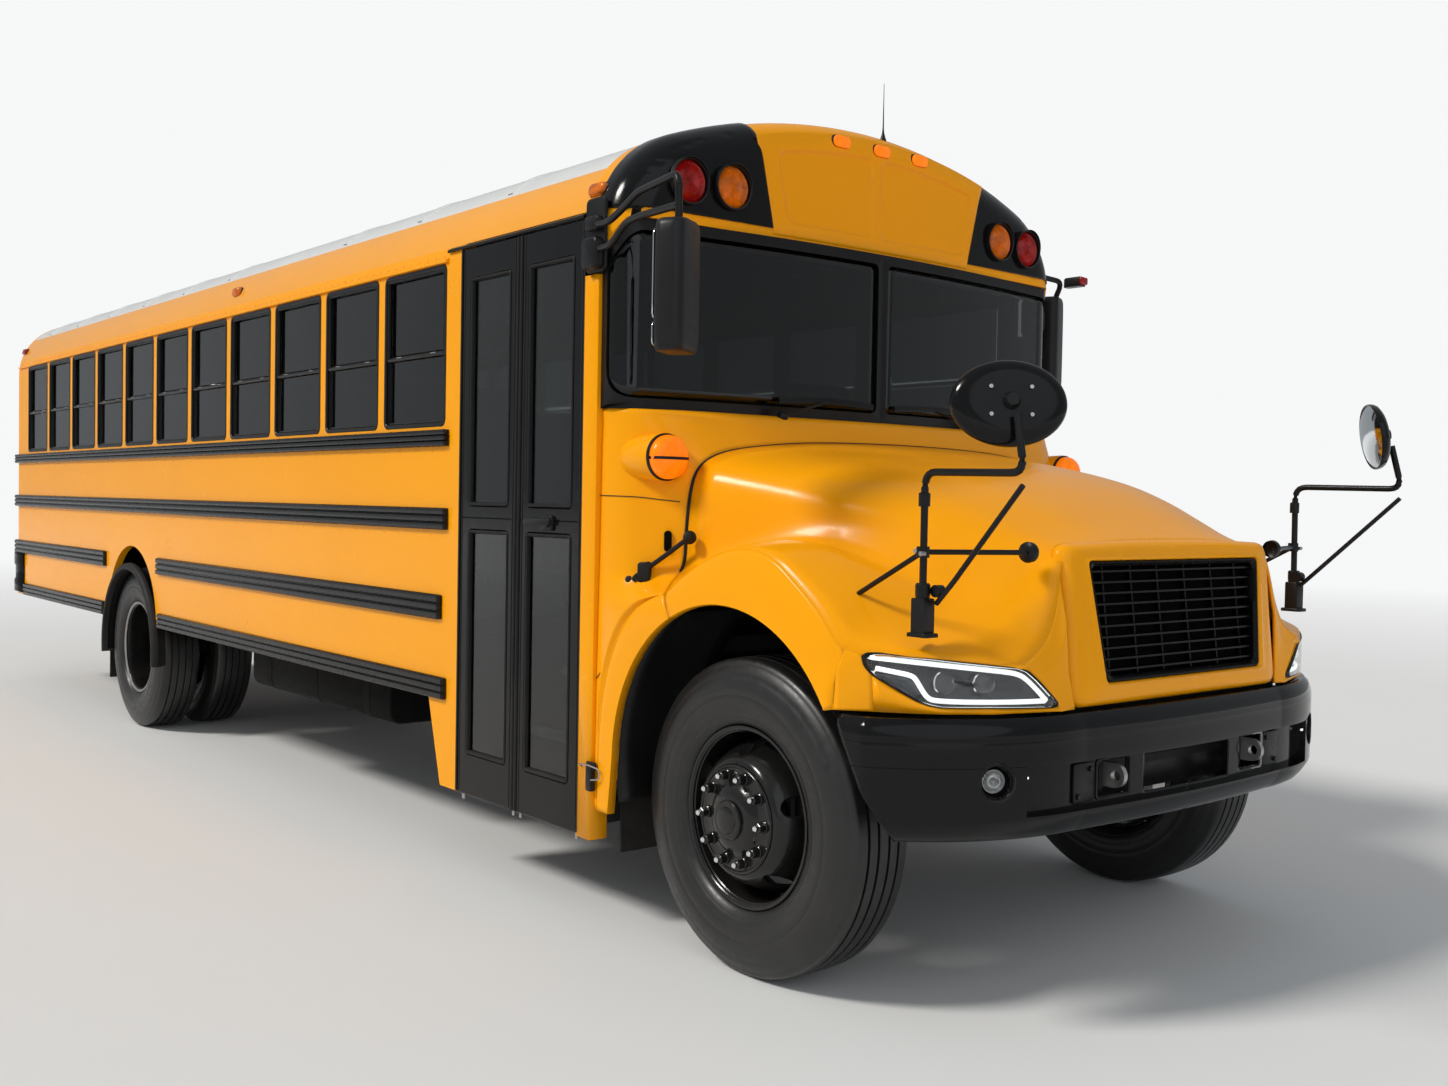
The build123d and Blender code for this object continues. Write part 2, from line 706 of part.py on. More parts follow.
# Grille: a frame with level bars and three uprights, in the nose opening
with BuildPart() as grille:
    with BuildSketch(nose.offset(-grille_depth)):
        grille_outline(-3)
        with BuildLine():
            Polyline((-grille_half_low + 25, grille_low + 25), (grille_half_low - 25, grille_low + 25),
                     (grille_half_high - 25, grille_high - 25), (-grille_half_high + 25, grille_high - 25),
                     close=True)
        make_face(mode=Mode.SUBTRACT)
    extrude(amount=grille_depth - 10)
    with BuildSketch(nose.offset(-grille_depth)):
        for index in range(bar_count):
            height = grille_low + (grille_high - grille_low) * (index + 1) / (bar_count + 1)
            with Locations((0, height)):
                Rectangle(2 * grille_half_low - 20, 12)
        for offset in (-220, 0, 220):
            with Locations((offset, (grille_low + grille_high) / 2)):
                Rectangle(10, grille_high - grille_low - 40)
    extrude(amount=grille_depth - 20)
keep(grille, "grille")

# Bumpers
bumper_low = 566
bumper_high = 935
bumper_top_radius = 55
bumper_foot_radius = 25
bumper_depth = 70
band_low = 655
band_high = 795
tow_station = 918
tow_height = 728
tow_front = 950
tow_y = 395
tow_plate = 20
tow_window = 75
tow_eye_radius = 17
recess_face = 892
fog_lamp = (856, 740, 772)
fog_pocket_radius = 54


def bumper_plan(inset):
    """The front bumper's plan line: flat ahead, swept back round the corners, inside a sketch."""
    with BuildLine() as outline:
        Polyline((380, -1225 + inset), (620, -1200 + inset))
        ThreePointArc((620, -1200 + inset), (814 - inset * 0.7, -974 + inset * 0.5), (925 - inset, -560))
        ThreePointArc((925 - inset, -560), (950 - inset, 0), (925 - inset, 560))
        ThreePointArc((925 - inset, 560), (814 - inset * 0.7, 974 - inset * 0.5), (620, 1200 - inset))
        Polyline((620, 1200 - inset), (380, 1225 - inset), (380, -1225 + inset))
    make_face(outline.edges())


with BuildPart() as bumper_front:
    with BuildSketch(level(bumper_low)):
        bumper_plan(0)
    extrude(amount=bumper_high - bumper_low)
    for edges, radius in ((bumper_front.edges().group_by(Axis.Z)[-1], bumper_top_radius),
                          (bumper_front.edges().group_by(Axis.Z)[0], bumper_foot_radius)):
        fillet(edges.sort_by(Axis.X)[1:], radius)
    with BuildSketch(level(bumper_low)):
        bumper_plan(bumper_depth)
    extrude(amount=bumper_high - bumper_low, mode=Mode.SUBTRACT)
    with BuildSketch(flank(1300)):
        with BuildLine():
            Polyline((300, bumper_high + 10), (500, bumper_high + 10), (700, bumper_low - 10),
                     (300, bumper_low - 10), close=True)
        make_face()
    extrude(amount=2600, mode=Mode.SUBTRACT)
    slab(600, 1000, -700, 700, band_low, band_high, Mode.SUBTRACT)
    slab(700, recess_face, -720, 720, band_low - 20, band_high + 20)
    slab(600, 862, -745, 745, 600, 880, Mode.SUBTRACT)
    for side in (1, -1):
        slab(600, 1000, side * (tow_y - tow_window), side * (tow_y + tow_window), band_low + 25, band_high - 25,
             Mode.SUBTRACT)
        slab(rail_front, 865, side * rail_inside, side * rail_outside, band_low - 15, band_low + 25)
        slab(rail_front, 850, side * rail_inside, side * rail_outside, band_low, band_high - 20)
        slab(845, tow_front, side * (tow_y - tow_plate / 2), side * (tow_y + tow_plate / 2),
             tow_height - 38, tow_height + 38)
        with Locations(place(tow_station, side * tow_y, tow_height)):
            Cylinder(tow_eye_radius, tow_plate + 2, rotation=(90, 0, 0), mode=Mode.SUBTRACT)
        rod((fog_lamp[2], side * fog_lamp[0], fog_lamp[1]), (1000, side * fog_lamp[0], fog_lamp[1]),
            fog_pocket_radius, Mode.SUBTRACT)
keep(bumper_front, "bumper_front")

with BuildPart() as bumper_rear:
    for low, high, rear in ((705, 1030, body_rear - 85),):
        slab(rear, body_rear - 8, -1235, 1235, low, high)
        slab(rear + 12, body_rear - 9, -1200, 1200, low + 12, high - 12, Mode.SUBTRACT)
        slab(rear + 60, body_rear - 1, -700, 700, low + 50, high - 50)
    for side in (1, -1):
        slab(body_rear - 9, body_rear + 270, side * (body_half_width + 8), side * (body_half_width + 16), 705, 1022)
keep(bumper_rear, "bumper_rear")

# Headlamps, wrapped round the fender corners
with BuildPart() as headlamps:
    add(headlamp_blank(0))
keep(headlamps, "headlamps")

# Cross-view mirrors on the fenders: post, struts and an oval head each side
strut = 11
post = ((695, 1043, 1200), (692, 1040, 1639), (1076, 1078, 1634), (1040, 1068, 1800))
struts = (
    ((729, 1030, 1260), (1076, 1078, 1620)),
    ((689, 1040, 1409), (803, 700, 1409)),
    ((689, 1040, 1409), (430, 1040, 1270)),
)
with BuildPart() as cross_view_mirrors:
    for side in (1, -1):
        bent_tube([(x, side * y, z) for x, y, z in post], strut, 40)
        for start, end in struts:
            rod((start[0], side * start[1], start[2]), (end[0], side * end[1], end[2]), strut)
        with Locations(place(695, side * 1043, 1240)):
            Cylinder(32, 100)
        with BuildSketch(Plane(origin=place(1016, side * 1063, 1831), x_dir=(0.62, -side * 0.78, 0),
                               z_dir=(-0.77, -side * 0.61, -0.16))):
            Ellipse(162, 122)
        extrude(amount=45)
keep(cross_view_mirrors, "cross_view_mirrors")

# Rear-view mirrors on the cap's corner brackets
arm = 12
mirror_head = (185, 100, 40)
mirror_sets = (
    # side, arms, head place, head height, head's long direction
    (-1, (((-690, 1235, 2500), (-620, 1310, 2500), (-500, 1400, 2585), (-330, 1400, 2600), (-60, 1385, 2560),
           (-60, 1385, 2380)),
          ((-690, 1235, 2415), (-640, 1300, 2415), (-500, 1345, 2500), (-330, 1365, 2530), (-100, 1365, 2500),
           (-100, 1365, 2380))),
     (-60, 1380, 2005), 410, (0.49, 0.87)),
    (1, (((-700, 1235, 2620), (-690, 1400, 2610), (-740, 1402, 2520)),
         ((-700, 1235, 2400), (-755, 1402, 2400))),
     (-755, 1402, 2100), 440, (-0.447, 0.894)),
)
with BuildPart() as rear_view_mirrors:
    for side, arms, (x, y, z), height, direction in mirror_sets:
        for points in arms:
            if len(points) > 2:
                bent_tube([(px, side * py, pz) for px, py, pz in points], arm, 30)
            else:
                rod(*[(px, side * py, pz) for px, py, pz in points], arm)
        slab(-790, -640, side * 1219.5, side * 1247, 2330, 2640)
        with BuildSketch(Plane(origin=place(x, side * y, z), x_dir=(direction[0], direction[1], 0),
                               z_dir=(0, 0, 1))):
            RectangleRounded(*mirror_head)
        extrude(amount=height)
        if side == 1:
            slab(-700, -600, 1400, 1478, 2578, 2640)
keep(rear_view_mirrors, "rear_view_mirrors")

# Lamps
warning_radius = 84
side_lamps = ((-9018, True), (-4322, False), (-784, False))
warning_lamps = (
    # y, height, station of the back, red
    (951, 2687, -560, True),
    (755, 2694, -551, False),
)
for name, red in (("lamps_red", True), ("lamps_amber", False)):
    with BuildPart() as lamps:
        for side in (1, -1):
            for y, height, back, is_red in warning_lamps:
                if is_red == red:
                    with BuildSketch(station(back)):
                        with Locations((side * y, height)):
                            Circle(warning_radius)
                    extrude(amount=26)
                    with BuildSketch(station(body_rear - 0.5)):
                        with Locations((side * y, height)):
                            Circle(warning_radius)
                    extrude(amount=-26)
            if red:
                with BuildSketch(station(body_rear - 1)):
                    for height in (1330, 1560):
                        with Locations((side * 1000, height)):
                            Circle(89)
                extrude(amount=-22)
            else:
                with BuildSketch(station(turn_lamp[0] + 1)):
                    with Locations((side * turn_lamp[1], turn_lamp[2])):
                        Circle(turn_radius)
                extrude(amount=60)
        for middle, is_red in side_lamps:
            if is_red == red:
                for side in (1, -1):
                    slab(middle - 50, middle + 50, side * 1140, side * 1212, 2628, 2682)
        with BuildSketch(station(body_rear)):
            body_section(-0.5, 2000)
        extrude(amount=cap_front - 60 - body_rear, mode=Mode.SUBTRACT)
        if not red:
            for y in marker_lamps:
                slab(-562, -522, y - 45, y + 45, 2930, 2970)
    keep(lamps, name)

# Stop arm on the left side
with BuildPart() as stop_arm:
    stop_y = body_half_width + 34
    with BuildSketch(flank(stop_y + 12)):
        with Locations((-2330, 1585)):
            RegularPolygon(243, 8, rotation=22.5)
    extrude(amount=12)
    for height in (1500, 1670):
        slab(-2130, -2030, stop_y, stop_y + 12, height - 20, height + 20)
keep(stop_arm, "stop_arm")
with BuildPart() as stop_arm_base:
    slab(-2100, -1990, body_half_width + 0.5, body_half_width + 26, 1502, 1700)
keep(stop_arm_base, "stop_arm_base")

# Wipers and antenna
with BuildPart() as wipers:
    for side in (1, -1):
        with Locations(place(-440, side * 553, 1883.5)):
            Cylinder(22, 30)
        rod((-440, side * 553, 1890), (-470, side * 60, 1925), 8)
keep(wipers, "wipers")
with BuildPart() as antenna:
    rod((-615, 96, 3020), (-615, 96, 3259), 3)
    with Locations(place(-615, 96, 3030)):
        Cylinder(13.5, 40)
keep(antenna, "antenna")

# Wheels: revolved about the axle line
tyre_sides = 48
tyre_profile = ((298, -95), (330, -128), (430, -140), (498, -122), (tyre_radius, -98), (tyre_radius, 98),
                (498, 122), (430, 140), (330, 128), (298, 95))


def flat_sided_ring(profile, middle, x):
    """A ring round an axle line with flat sides, one resting on the ground, from (radius, y) pairs."""
    step = 2 * math.pi / tyre_sides
    stretch = 1 / math.cos(step / 2)
    faces = []
    for index in range(tyre_sides):
        corners = []
        for turn in (step * (index - 0.5), step * (index + 0.5)):
            across = stretch * math.sin(turn)
            up = stretch * math.cos(turn)
            corners.append([place(x + r * across, middle + y, axle_height + r * up) for r, y in profile])
        first, second = corners
        for here in range(len(profile)):
            after = (here + 1) % len(profile)
            faces.append(Face(Wire.make_polygon([first[here], first[after], second[after], second[here]])))
    return Solid(Shell(faces))


def spin(profile, x):
    """Turn a profile of (y, radius) round an axle line at station x, in the part being built."""
    with BuildSketch(station(x)) as section:
        with BuildLine() as outline:
            Polyline(*[(y, axle_height + radius) for y, radius in profile], close=True)
        make_face(outline.edges())
    revolve(section.sketch, axis=Axis(place(x, 0, axle_height), (0, 1, 0)))


def rim_profile(middle, side):
    """A rim's barrel with its two lips, as (y, radius) pairs."""
    pairs = ((-108, 297.5), (-108, 275), (108, 275), (108, 297.5), (96, 297.5), (92, 286), (-92, 286),
             (-96, 297.5))
    return [(middle + side * across, radius) for across, radius in pairs]


front_disc = ((-55, 276), (-40, 276), (-5, 230), (45, 195), (60, 170), (60, 118), (115, 105), (123, 60),
              (123, 0), (25, 0), (25, 31), (-35, 31), (-35, 205), (-20, 205), (-20, 75), (27, 75), (43, 112),
              (45, 165), (31, 185), (-19, 222))
rear_disc = ((11, 190), (80, 262), (80, 276), (66, 276), (0, 205), (-66, 276), (-80, 276), (-80, 262),
             (-11, 190), (-11, 110), (-135, 110), (-135, 205), (-150, 205), (-150, 51), (60, 51), (60, 0),
             (150, 0), (150, 70), (130, 95), (11, 100))
for name, side in (("right", -1), ("left", 1)):
    with BuildPart() as wheel:
        middle = side * front_tyre_y
        spin(rim_profile(middle, side), 0)
        spin([(middle + side * across, radius) for across, radius in front_disc], 0)
    keep(wheel, f"wheel_front_{name}")
    with BuildPart() as rubber:
        add(flat_sided_ring(tyre_profile, middle, 0))
    keep(rubber, f"tyre_front_{name}")
    with BuildPart() as pair:
        outer = side * rear_outer_y
        inner = side * (rear_outer_y - dual_spacing)
        spin(rim_profile(outer, side), rear_axle)
        spin(rim_profile(inner, side), rear_axle)
        joint = side * (rear_outer_y - dual_spacing / 2)
        spin([(joint + side * across, radius) for across, radius in rear_disc], rear_axle)
    keep(pair, f"wheels_rear_{name}")
    with BuildPart() as rubber:
        for centre in (outer, inner):
            add(flat_sided_ring(tyre_profile, centre, rear_axle))
    keep(rubber, f"tyres_rear_{name}")

# Axles, knuckles, springs and driveline
boss_radius = 42
pin_radius = 16
ear_radius = 46
ear_thickness = 28
ear_reach = 85
with BuildPart() as front_axle:
    slab(-45, 45, -650, 650, 395, 470)
    for side in (1, -1):
        rod((0, side * 620, 430), (0, side * 812, 500), 36)
        with Locations(place(0, side * kingpin_y, axle_height)):
            Cylinder(boss_radius, 110)
        slab(-32, 32, side * 800, side * kingpin_y, 475, 555)
        with Locations(place(0, side * kingpin_y, axle_height)):
            Cylinder(pin_radius + 0.5, 120, mode=Mode.SUBTRACT)
keep(front_axle, "front_axle")
for name, side in (("right", -1), ("left", 1)):
    with BuildPart() as knuckle:
        for foot in (axle_height - ear_reach, axle_height + ear_reach - ear_thickness):
            with Locations(place(0, side * kingpin_y, foot + ear_thickness / 2)):
                Cylinder(ear_radius, ear_thickness)
            slab(-ear_radius, ear_radius, side * kingpin_y, side * (kingpin_y + 66), foot, foot + ear_thickness)
        slab(-ear_radius, ear_radius, side * (kingpin_y + 48), side * (kingpin_y + 66),
             axle_height - ear_reach, axle_height + ear_reach)
        with Locations(place(0, side * kingpin_y, axle_height)):
            Cylinder(pin_radius, 2 * ear_reach)
        rod((0, side * (kingpin_y + 50), axle_height), (0, side * (front_tyre_y + 23), axle_height), 30)
    keep(knuckle, f"knuckle_{name}")
with BuildPart() as rear_axle_housing:
    rod((rear_axle, -930, axle_height), (rear_axle, 930, axle_height), 50)
    with Locations(place(rear_axle, 0, axle_height)):
        Sphere(165)
    rod((rear_axle, 0, axle_height), (rear_axle + 260, 0, axle_height + 20), 80)
keep(rear_axle_housing, "rear_axle")
with BuildPart() as leaf_springs:
    for side in (1, -1):
        for middle, half, y, height in ((rear_axle, 700, 490, 590), (0, 560, 391, 480)):
            for index in range(3):
                reach = half * (3 - index) / 3
                slab(middle - reach, middle + reach, side * (y - 38), side * (y + 38),
                     height + 12 * (2 - index), height + 12 * (3 - index))
            for end in (middle - half + 30, middle + half - 30):
                slab(end - 25, end + 25, side * (y - 38), side * (y + 38), height + 30,
                     rail_low if y < rail_outside else 700)
keep(leaf_springs, "leaf_springs")
with BuildPart() as driveshaft:
    rod((rear_axle + 262, 0, axle_height + 20), (-3100, 0, 650), 45)
    rod((-3100, 0, 650), (-1245, 0, 665), 45)
keep(driveshaft, "driveshaft")
with BuildPart() as engine:
    slab(-400, 480, -325, 325, 640, 1330)
    slab(-1240, -400, -190, 190, 640, 860)
keep(engine, "engine")
with BuildPart() as radiator:
    slab(640, 720, -345, 345, 680, 1330)
keep(radiator, "radiator")
with BuildPart() as fuel_tank:
    slab(-4200, -2500, -1130, -620, 480, 860)
keep(fuel_tank, "fuel_tank")
with BuildPart() as exhaust:
    rod((-3800, 640, 700), (-2600, 640, 700), 130)
    bent_tube([(-3795, 640, 700), (-5000, 640, 700), (-5300, 820, 640)], 50, 100)
keep(exhaust, "exhaust")

# Cabin: benches, driver's seat, dash and steering wheel
bench_pitch = 690
bench_first = -2150
bench_count = 9
with BuildPart() as bench_pads:
    for side in (1, -1):
        for index in range(bench_count):
            start = bench_first - bench_pitch * index
            slab(start - 400, start, side * 350, side * 1150, 1400, 1480)
            slab(start - 470, start - 400, side * 350, side * 1150, 1480, 2090)
keep(bench_pads, "bench_pads")
with BuildPart() as bench_frames:
    for side in (1, -1):
        for index in range(bench_count):
            start = bench_first - bench_pitch * index
            slab(start - 430, start - 20, side * 360, side * 1140, 1375, 1399.5)
            for end in (start - 420, start - 60):
                slab(end, end + 30, side * 380, side * 410, floor_top, 1376)
keep(bench_frames, "bench_frames")
with BuildPart() as driver_seat:
    slab(-1650, -1150, 520, 1000, 1420, 1520)
    slab(-1720, -1620, 520, 1000, 1500, 2150)
    slab(-1550, -1250, 620, 900, floor_top, 1421)
keep(driver_seat, "driver_seat")
with BuildPart() as dashboard:
    slab(-950, -755, -400, 1150, 1500, 1800)
    slab(-800, -755, -400, 1130, floor_top, 1501)
    rod((-860, 760, 1659), (-1010, 760, 1790), 35)
keep(dashboard, "dashboard")
with BuildPart() as steering_wheel:
    wheel_plane = Plane(origin=place(-1035, 760, 1812), x_dir=(0, 1, 0), z_dir=(-160, 0, 140))
    with Locations(wheel_plane):
        Torus(225, 14)
        Cylinder(45, 30)
        Box(440, 30, 14)
keep(steering_wheel, "steering_wheel")
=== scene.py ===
import bmesh
import bpy
import math
import numpy as np
from mathutils import Matrix, Vector


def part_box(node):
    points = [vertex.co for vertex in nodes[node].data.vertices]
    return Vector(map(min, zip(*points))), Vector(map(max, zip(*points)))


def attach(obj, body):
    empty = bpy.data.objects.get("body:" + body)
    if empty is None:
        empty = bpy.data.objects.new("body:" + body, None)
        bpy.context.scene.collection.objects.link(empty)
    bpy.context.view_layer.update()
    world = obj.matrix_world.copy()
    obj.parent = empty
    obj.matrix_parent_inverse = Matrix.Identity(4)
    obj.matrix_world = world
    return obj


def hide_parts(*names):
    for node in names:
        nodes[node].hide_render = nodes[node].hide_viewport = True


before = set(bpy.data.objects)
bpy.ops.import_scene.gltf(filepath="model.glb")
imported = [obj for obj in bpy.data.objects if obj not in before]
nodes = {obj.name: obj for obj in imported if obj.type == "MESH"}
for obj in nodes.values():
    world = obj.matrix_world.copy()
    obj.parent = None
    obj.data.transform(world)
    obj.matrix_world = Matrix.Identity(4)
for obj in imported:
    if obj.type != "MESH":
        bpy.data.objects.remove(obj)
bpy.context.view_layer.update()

wheelLow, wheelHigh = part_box("wheel_front_right")
frontAxle = (wheelLow.x + wheelHigh.x) / 2   # every place below is measured ahead of the front axle
rearAxle, axleHeight = -6.082, .52
materials, slots = {}, {}


def setInputs(tree, node, inputs):
    for socket, value in inputs.items():
        if isinstance(value, bpy.types.NodeSocket):
            tree.links.new(value, node.inputs[socket])
        else:
            node.inputs[socket].default_value = value


def addNode(tree, kind, inputs, output=0, **settings):
    node = tree.nodes.new("ShaderNode" + kind)
    for name, value in settings.items():
        setattr(node, name, value)
    setInputs(tree, node, inputs)
    return node.outputs[output]


def newMaterial(name, slot=None):
    material = bpy.data.materials.new(name)
    material.use_nodes = True
    materials[name], slots[name] = material, slot
    tree = material.node_tree
    return tree, tree.nodes["Principled BSDF"], addNode(tree, "TexCoord", {}, "Object")


def noiseNode(tree, coordinates, scale, detail=4.0, roughness=.55):
    return addNode(tree, "TexNoise", {"Scale": scale, "Detail": detail, "Roughness": roughness,
        "Vector": coordinates})


def rangeNode(tree, value, fromLow, fromHigh, toLow, toHigh):
    return addNode(tree, "MapRange", {"Value": value, "From Min": fromLow, "From Max": fromHigh,
        "To Min": toLow, "To Max": toHigh})


def mixNode(tree, factor, first, second):
    first, second = ((*colour, 1) if isinstance(colour, tuple) else colour for colour in (first, second))
    return addNode(tree, "Mix", {0: factor, 6: first, 7: second}, 2, data_type="RGBA")


def mathNode(tree, operation, first, second):
    return addNode(tree, "Math", {0: first, 1: second}, operation=operation)


def bumpNode(tree, coordinates, grain, detail, height, strength):
    return addNode(tree, "Bump", {"Strength": strength, "Distance": height,
                                  "Height": noiseNode(tree, coordinates, grain, detail)})


def scaled(colour, factor):
    return tuple(min(1.0, part * factor) for part in colour)


# the colour drifts between a darker and a lighter shade on soft patches and the roughness on finer ones, the
# bump adds a fine grain, and dust settles towards the ground on a patchy line
def makeSurface(name, slot, colour, rough, vary, patch, gloss, metal=0.0, coat=0.0, grain=180.0,
        grainHeight=.0002, roughSpread=.08, dust=0.0, dustTop=1.0, sheen=0.0, dirt=(.3, .26, .21), glow=0.0):
    tree, shader, coordinates = newMaterial(name, slot)
    patches = rangeNode(tree, noiseNode(tree, coordinates, patch), .3, .7, 0.0, 1.0)
    shade = mixNode(tree, patches, scaled(colour, 1 - vary), scaled(colour, 1 + vary * .6))
    if dust:
        height = rangeNode(tree, addNode(tree, "SeparateXYZ", {0: coordinates}, "Z"), .1, dustTop, 1.0, 0.0)
        cloud = rangeNode(tree, noiseNode(tree, coordinates, 5.5, 8.0, .7), .35, .7, .15, 1.0)
        amount = mathNode(tree, "MULTIPLY", mathNode(tree, "MULTIPLY", height, cloud), dust)
        shade = mixNode(tree, amount, shade, dirt)
    drift = rangeNode(tree, noiseNode(tree, coordinates, patch * 6, 6.0, .65), .25, .75,
                      max(0.0, rough - roughSpread), min(1.0, rough + roughSpread))
    setInputs(tree, shader, {
        "Base Color": shade, "Roughness": drift,
        "Normal": bumpNode(tree, coordinates, grain, 3.0, grainHeight, .6),
        "Metallic": metal, "Coat Weight": coat, "Coat Roughness": .05, "Sheen Weight": sheen,
        "Specular IOR Level": gloss})
    if glow:
        setInputs(tree, shader, {"Emission Color": (*colour, 1), "Emission Strength": glow})


# glazing: transmission with the tint as its colour, and faint smears in its roughness
def makeGlass(name, slot, colour, rough=.02):
    tree, shader, coordinates = newMaterial(name, slot)
    smears = noiseNode(tree, coordinates, 2.3, 7.0, .7)
    setInputs(tree, shader, {
        "Roughness": rangeNode(tree, smears, .35, .75, rough, rough + .05),
        "Base Color": mixNode(tree, smears, scaled(colour, .9), scaled(colour, 1.1)),
        "Transmission Weight": 1.0, "IOR": 1.45})


bodyYellow = (1.0, .385, .0025)
surfaces = {
    # finish: slot, colour, roughness, drift of the colour, patches a metre, gloss, and what else it has
    "bodyYellow": ("body_yellow", bodyYellow, .24, .03, .9, .14,
                   dict(coat=.05, grain=260, grainHeight=.00003, roughSpread=.05)),
    "railBlack": ("gloss_black", (.007, .007, .0075), .26, .3, 5, .25, dict(dust=.04, dustTop=1.1)),
    "roofWhite": ("roof_white", (.8, .81, .8), .38, .06, 1.8, .3, dict(coat=.1)),
    "glossBlack": ("gloss_black", (.0055, .0055, .006), .13, .3, 4, .2, dict(grainHeight=.00008, dust=.03)),
    "satinBlack": ("gloss_black", (.008, .008, .0085), .34, .3, 5, .22, dict(dust=.05, dustTop=1.1)),
    "grilleBlack": ("gloss_black", (.0035, .0035, .004), .3, .3, 6, .12, {}),
    # the matte near-black below is painted shade: it fills the grille behind its bars and the cowl's slots
    "paintedShadeBlack": ("black_plastic", (.003, .003, .003), .9, .3, 5, .05, {}),
    "blackRubber": ("black_rubber", (.01, .01, .01), .6, .3, 7, .25,
                    dict(grain=420, grainHeight=.0003, dust=.1, dustTop=1.2)),
    "blackPlastic": ("black_plastic", (.01, .01, .011), .4, .25, 6, .25, dict(grain=600)),
    "chassisBlack": ("chassis_black", (.01, .01, .01), .55, .35, 6, .2, dict(dust=.12)),
    "tyreRubber": ("tyre", (.0085, .0083, .0082), .4, .35, 7, .55,
                   dict(grain=300, roughSpread=.12, dust=.05, dirt=(.12, .11, .095))),
    "wheelBlack": ("wheel_black", (.007, .007, .007), .2, .3, 9, .35, dict(coat=.1, dust=.05, dustTop=.9)),
    "wornRim": ("steel", (.36, .35, .34), .42, .25, 16, .5, dict(metal=.8, grain=120, grainHeight=.0004)),
    "chrome": ("steel", (.78, .78, .79), .12, .08, 20, .5, dict(metal=1.0)),
    "brightSteel": ("steel", (.46, .45, .44), .36, .2, 14, .5, dict(metal=.9)),
    "floorRubber": ("floor_rubber", (.035, .035, .038), .7, .2, 8, .2, dict(grain=90, grainHeight=.0006)),
    "benchVinyl": ("bench_vinyl", (.014, .04, .065), .5, .2, 5, .3, dict(grain=520, grainHeight=.0005)),
    "driverCloth": ("black_plastic", (.025, .025, .028), .85, .25, 9, .5,
                    dict(grain=700, grainHeight=.0008, sheen=.3)),
    "cabinLining": (None, (.42, .41, .38), .6, .08, 3, .5, {}),
    "castIron": (None, (.06, .06, .06), .7, .3, 10, .5, dict(metal=.4, dust=.2, dustTop=1.2)),
    "aluminium": ("steel", (.35, .36, .36), .45, .12, 10, .5, dict(metal=1.0)),
    "stopRed": ("stop_red", (.62, .012, .01), .35, .08, 6, .35, dict(coat=.2)),
    "stopWhite": ("stop_red", (.8, .8, .79), .4, .05, 6, .5, {}),
    "redLens": ("red_lens", (.3, .003, .003), .1, .6, 26, .25,
                dict(coat=.2, grain=110, grainHeight=.0016, glow=.12)),
    "amberLens": ("amber_lens", (.62, .135, .002), .1, .5, 26, .25,
                  dict(coat=.2, grain=110, grainHeight=.0016, glow=.08)),
    "litAmber": ("amber_lens", (1.0, .2, .003), .12, .3, 30, .2,
                 dict(coat=.1, grain=110, grainHeight=.001, glow=.55)),
    "paleLens": ("lamp_clear", (.55, .57, .58), .12, .2, 30, .3, dict(coat=.3, grain=110, grainHeight=.0012)),
    "paleNosing": ("floor_rubber", (.62, .6, .52), .55, .12, 20, .5, {}),
    "mirrorFace": ("steel", (.62, .65, .67), .05, .03, 4, .5, dict(metal=1.0)),
    # the glowing white below lights the headlamps' light bars, and also the strips beside the fog lamps,
    # where it is a painted reflection
    "ledAndGlintWhite": ("lamp_clear", (.9, .95, .94), .3, .02, 10, .5, dict(glow=.9)),
    "lampBowl": ("black_plastic", (.012, .016, .022), .22, .3, 14, .5, dict(metal=.3)),
    "lampPanel": ("black_plastic", (.03, .038, .05), .3, .2, 14, .5, dict(metal=.3)),
    # the darkest black below, on the fuel tank and the rear arch's liners, is partly painted shade: these
    # black parts are darkened for the shade under the body
    "shadeDarkenedBlack": ("chassis_black", (.0045, .0045, .0045), .7, .3, 5, .08, {}),
}
for finish, (*values, more) in surfaces.items():
    makeSurface(finish, *values, **more)
makeGlass("tintedGlass", None, (.042, .049, .054))
makeGlass("clearGlass", None, (.17, .195, .19))
makeGlass("darkGlass", "clear_glass", (.065, .078, .076))
makeGlass("lampGlass", "lamp_clear", (.93, .95, .96), .01)

# the roof: white above a line near the shoulder, yellow below it
roofLine = {"height": 2.755, "soft": .003, "wander": .002, "white": ((.7, .7, .68), (.84, .85, .84))}
tree, shader, coordinates = newMaterial("roofPaint", "roof_white")
edge = mathNode(tree, "ADD", addNode(tree, "SeparateXYZ", {0: coordinates}, "Z"),
    rangeNode(tree, noiseNode(tree, coordinates, 2.0), 0, 1, -roofLine["wander"], roofLine["wander"]))
aboveLine = rangeNode(tree, edge, roofLine["height"] - roofLine["soft"],
    roofLine["height"] + roofLine["soft"], 0, 1)
yellowShade = mixNode(tree, noiseNode(tree, coordinates, 1.4), scaled(bodyYellow, .95),
    scaled(bodyYellow, 1.04))
whiteShade = mixNode(tree, noiseNode(tree, coordinates, 2.2, 6.0, .7), *roofLine["white"])
setInputs(tree, shader, {
    "Base Color": mixNode(tree, aboveLine, yellowShade, whiteShade), "Coat Weight": .4,
    "Roughness": rangeNode(tree, noiseNode(tree, coordinates, 9.0), .3, .7, .28, .42),
    "Normal": bumpNode(tree, coordinates, 240.0, 4.0, .00015, .5)})
print("materials made")

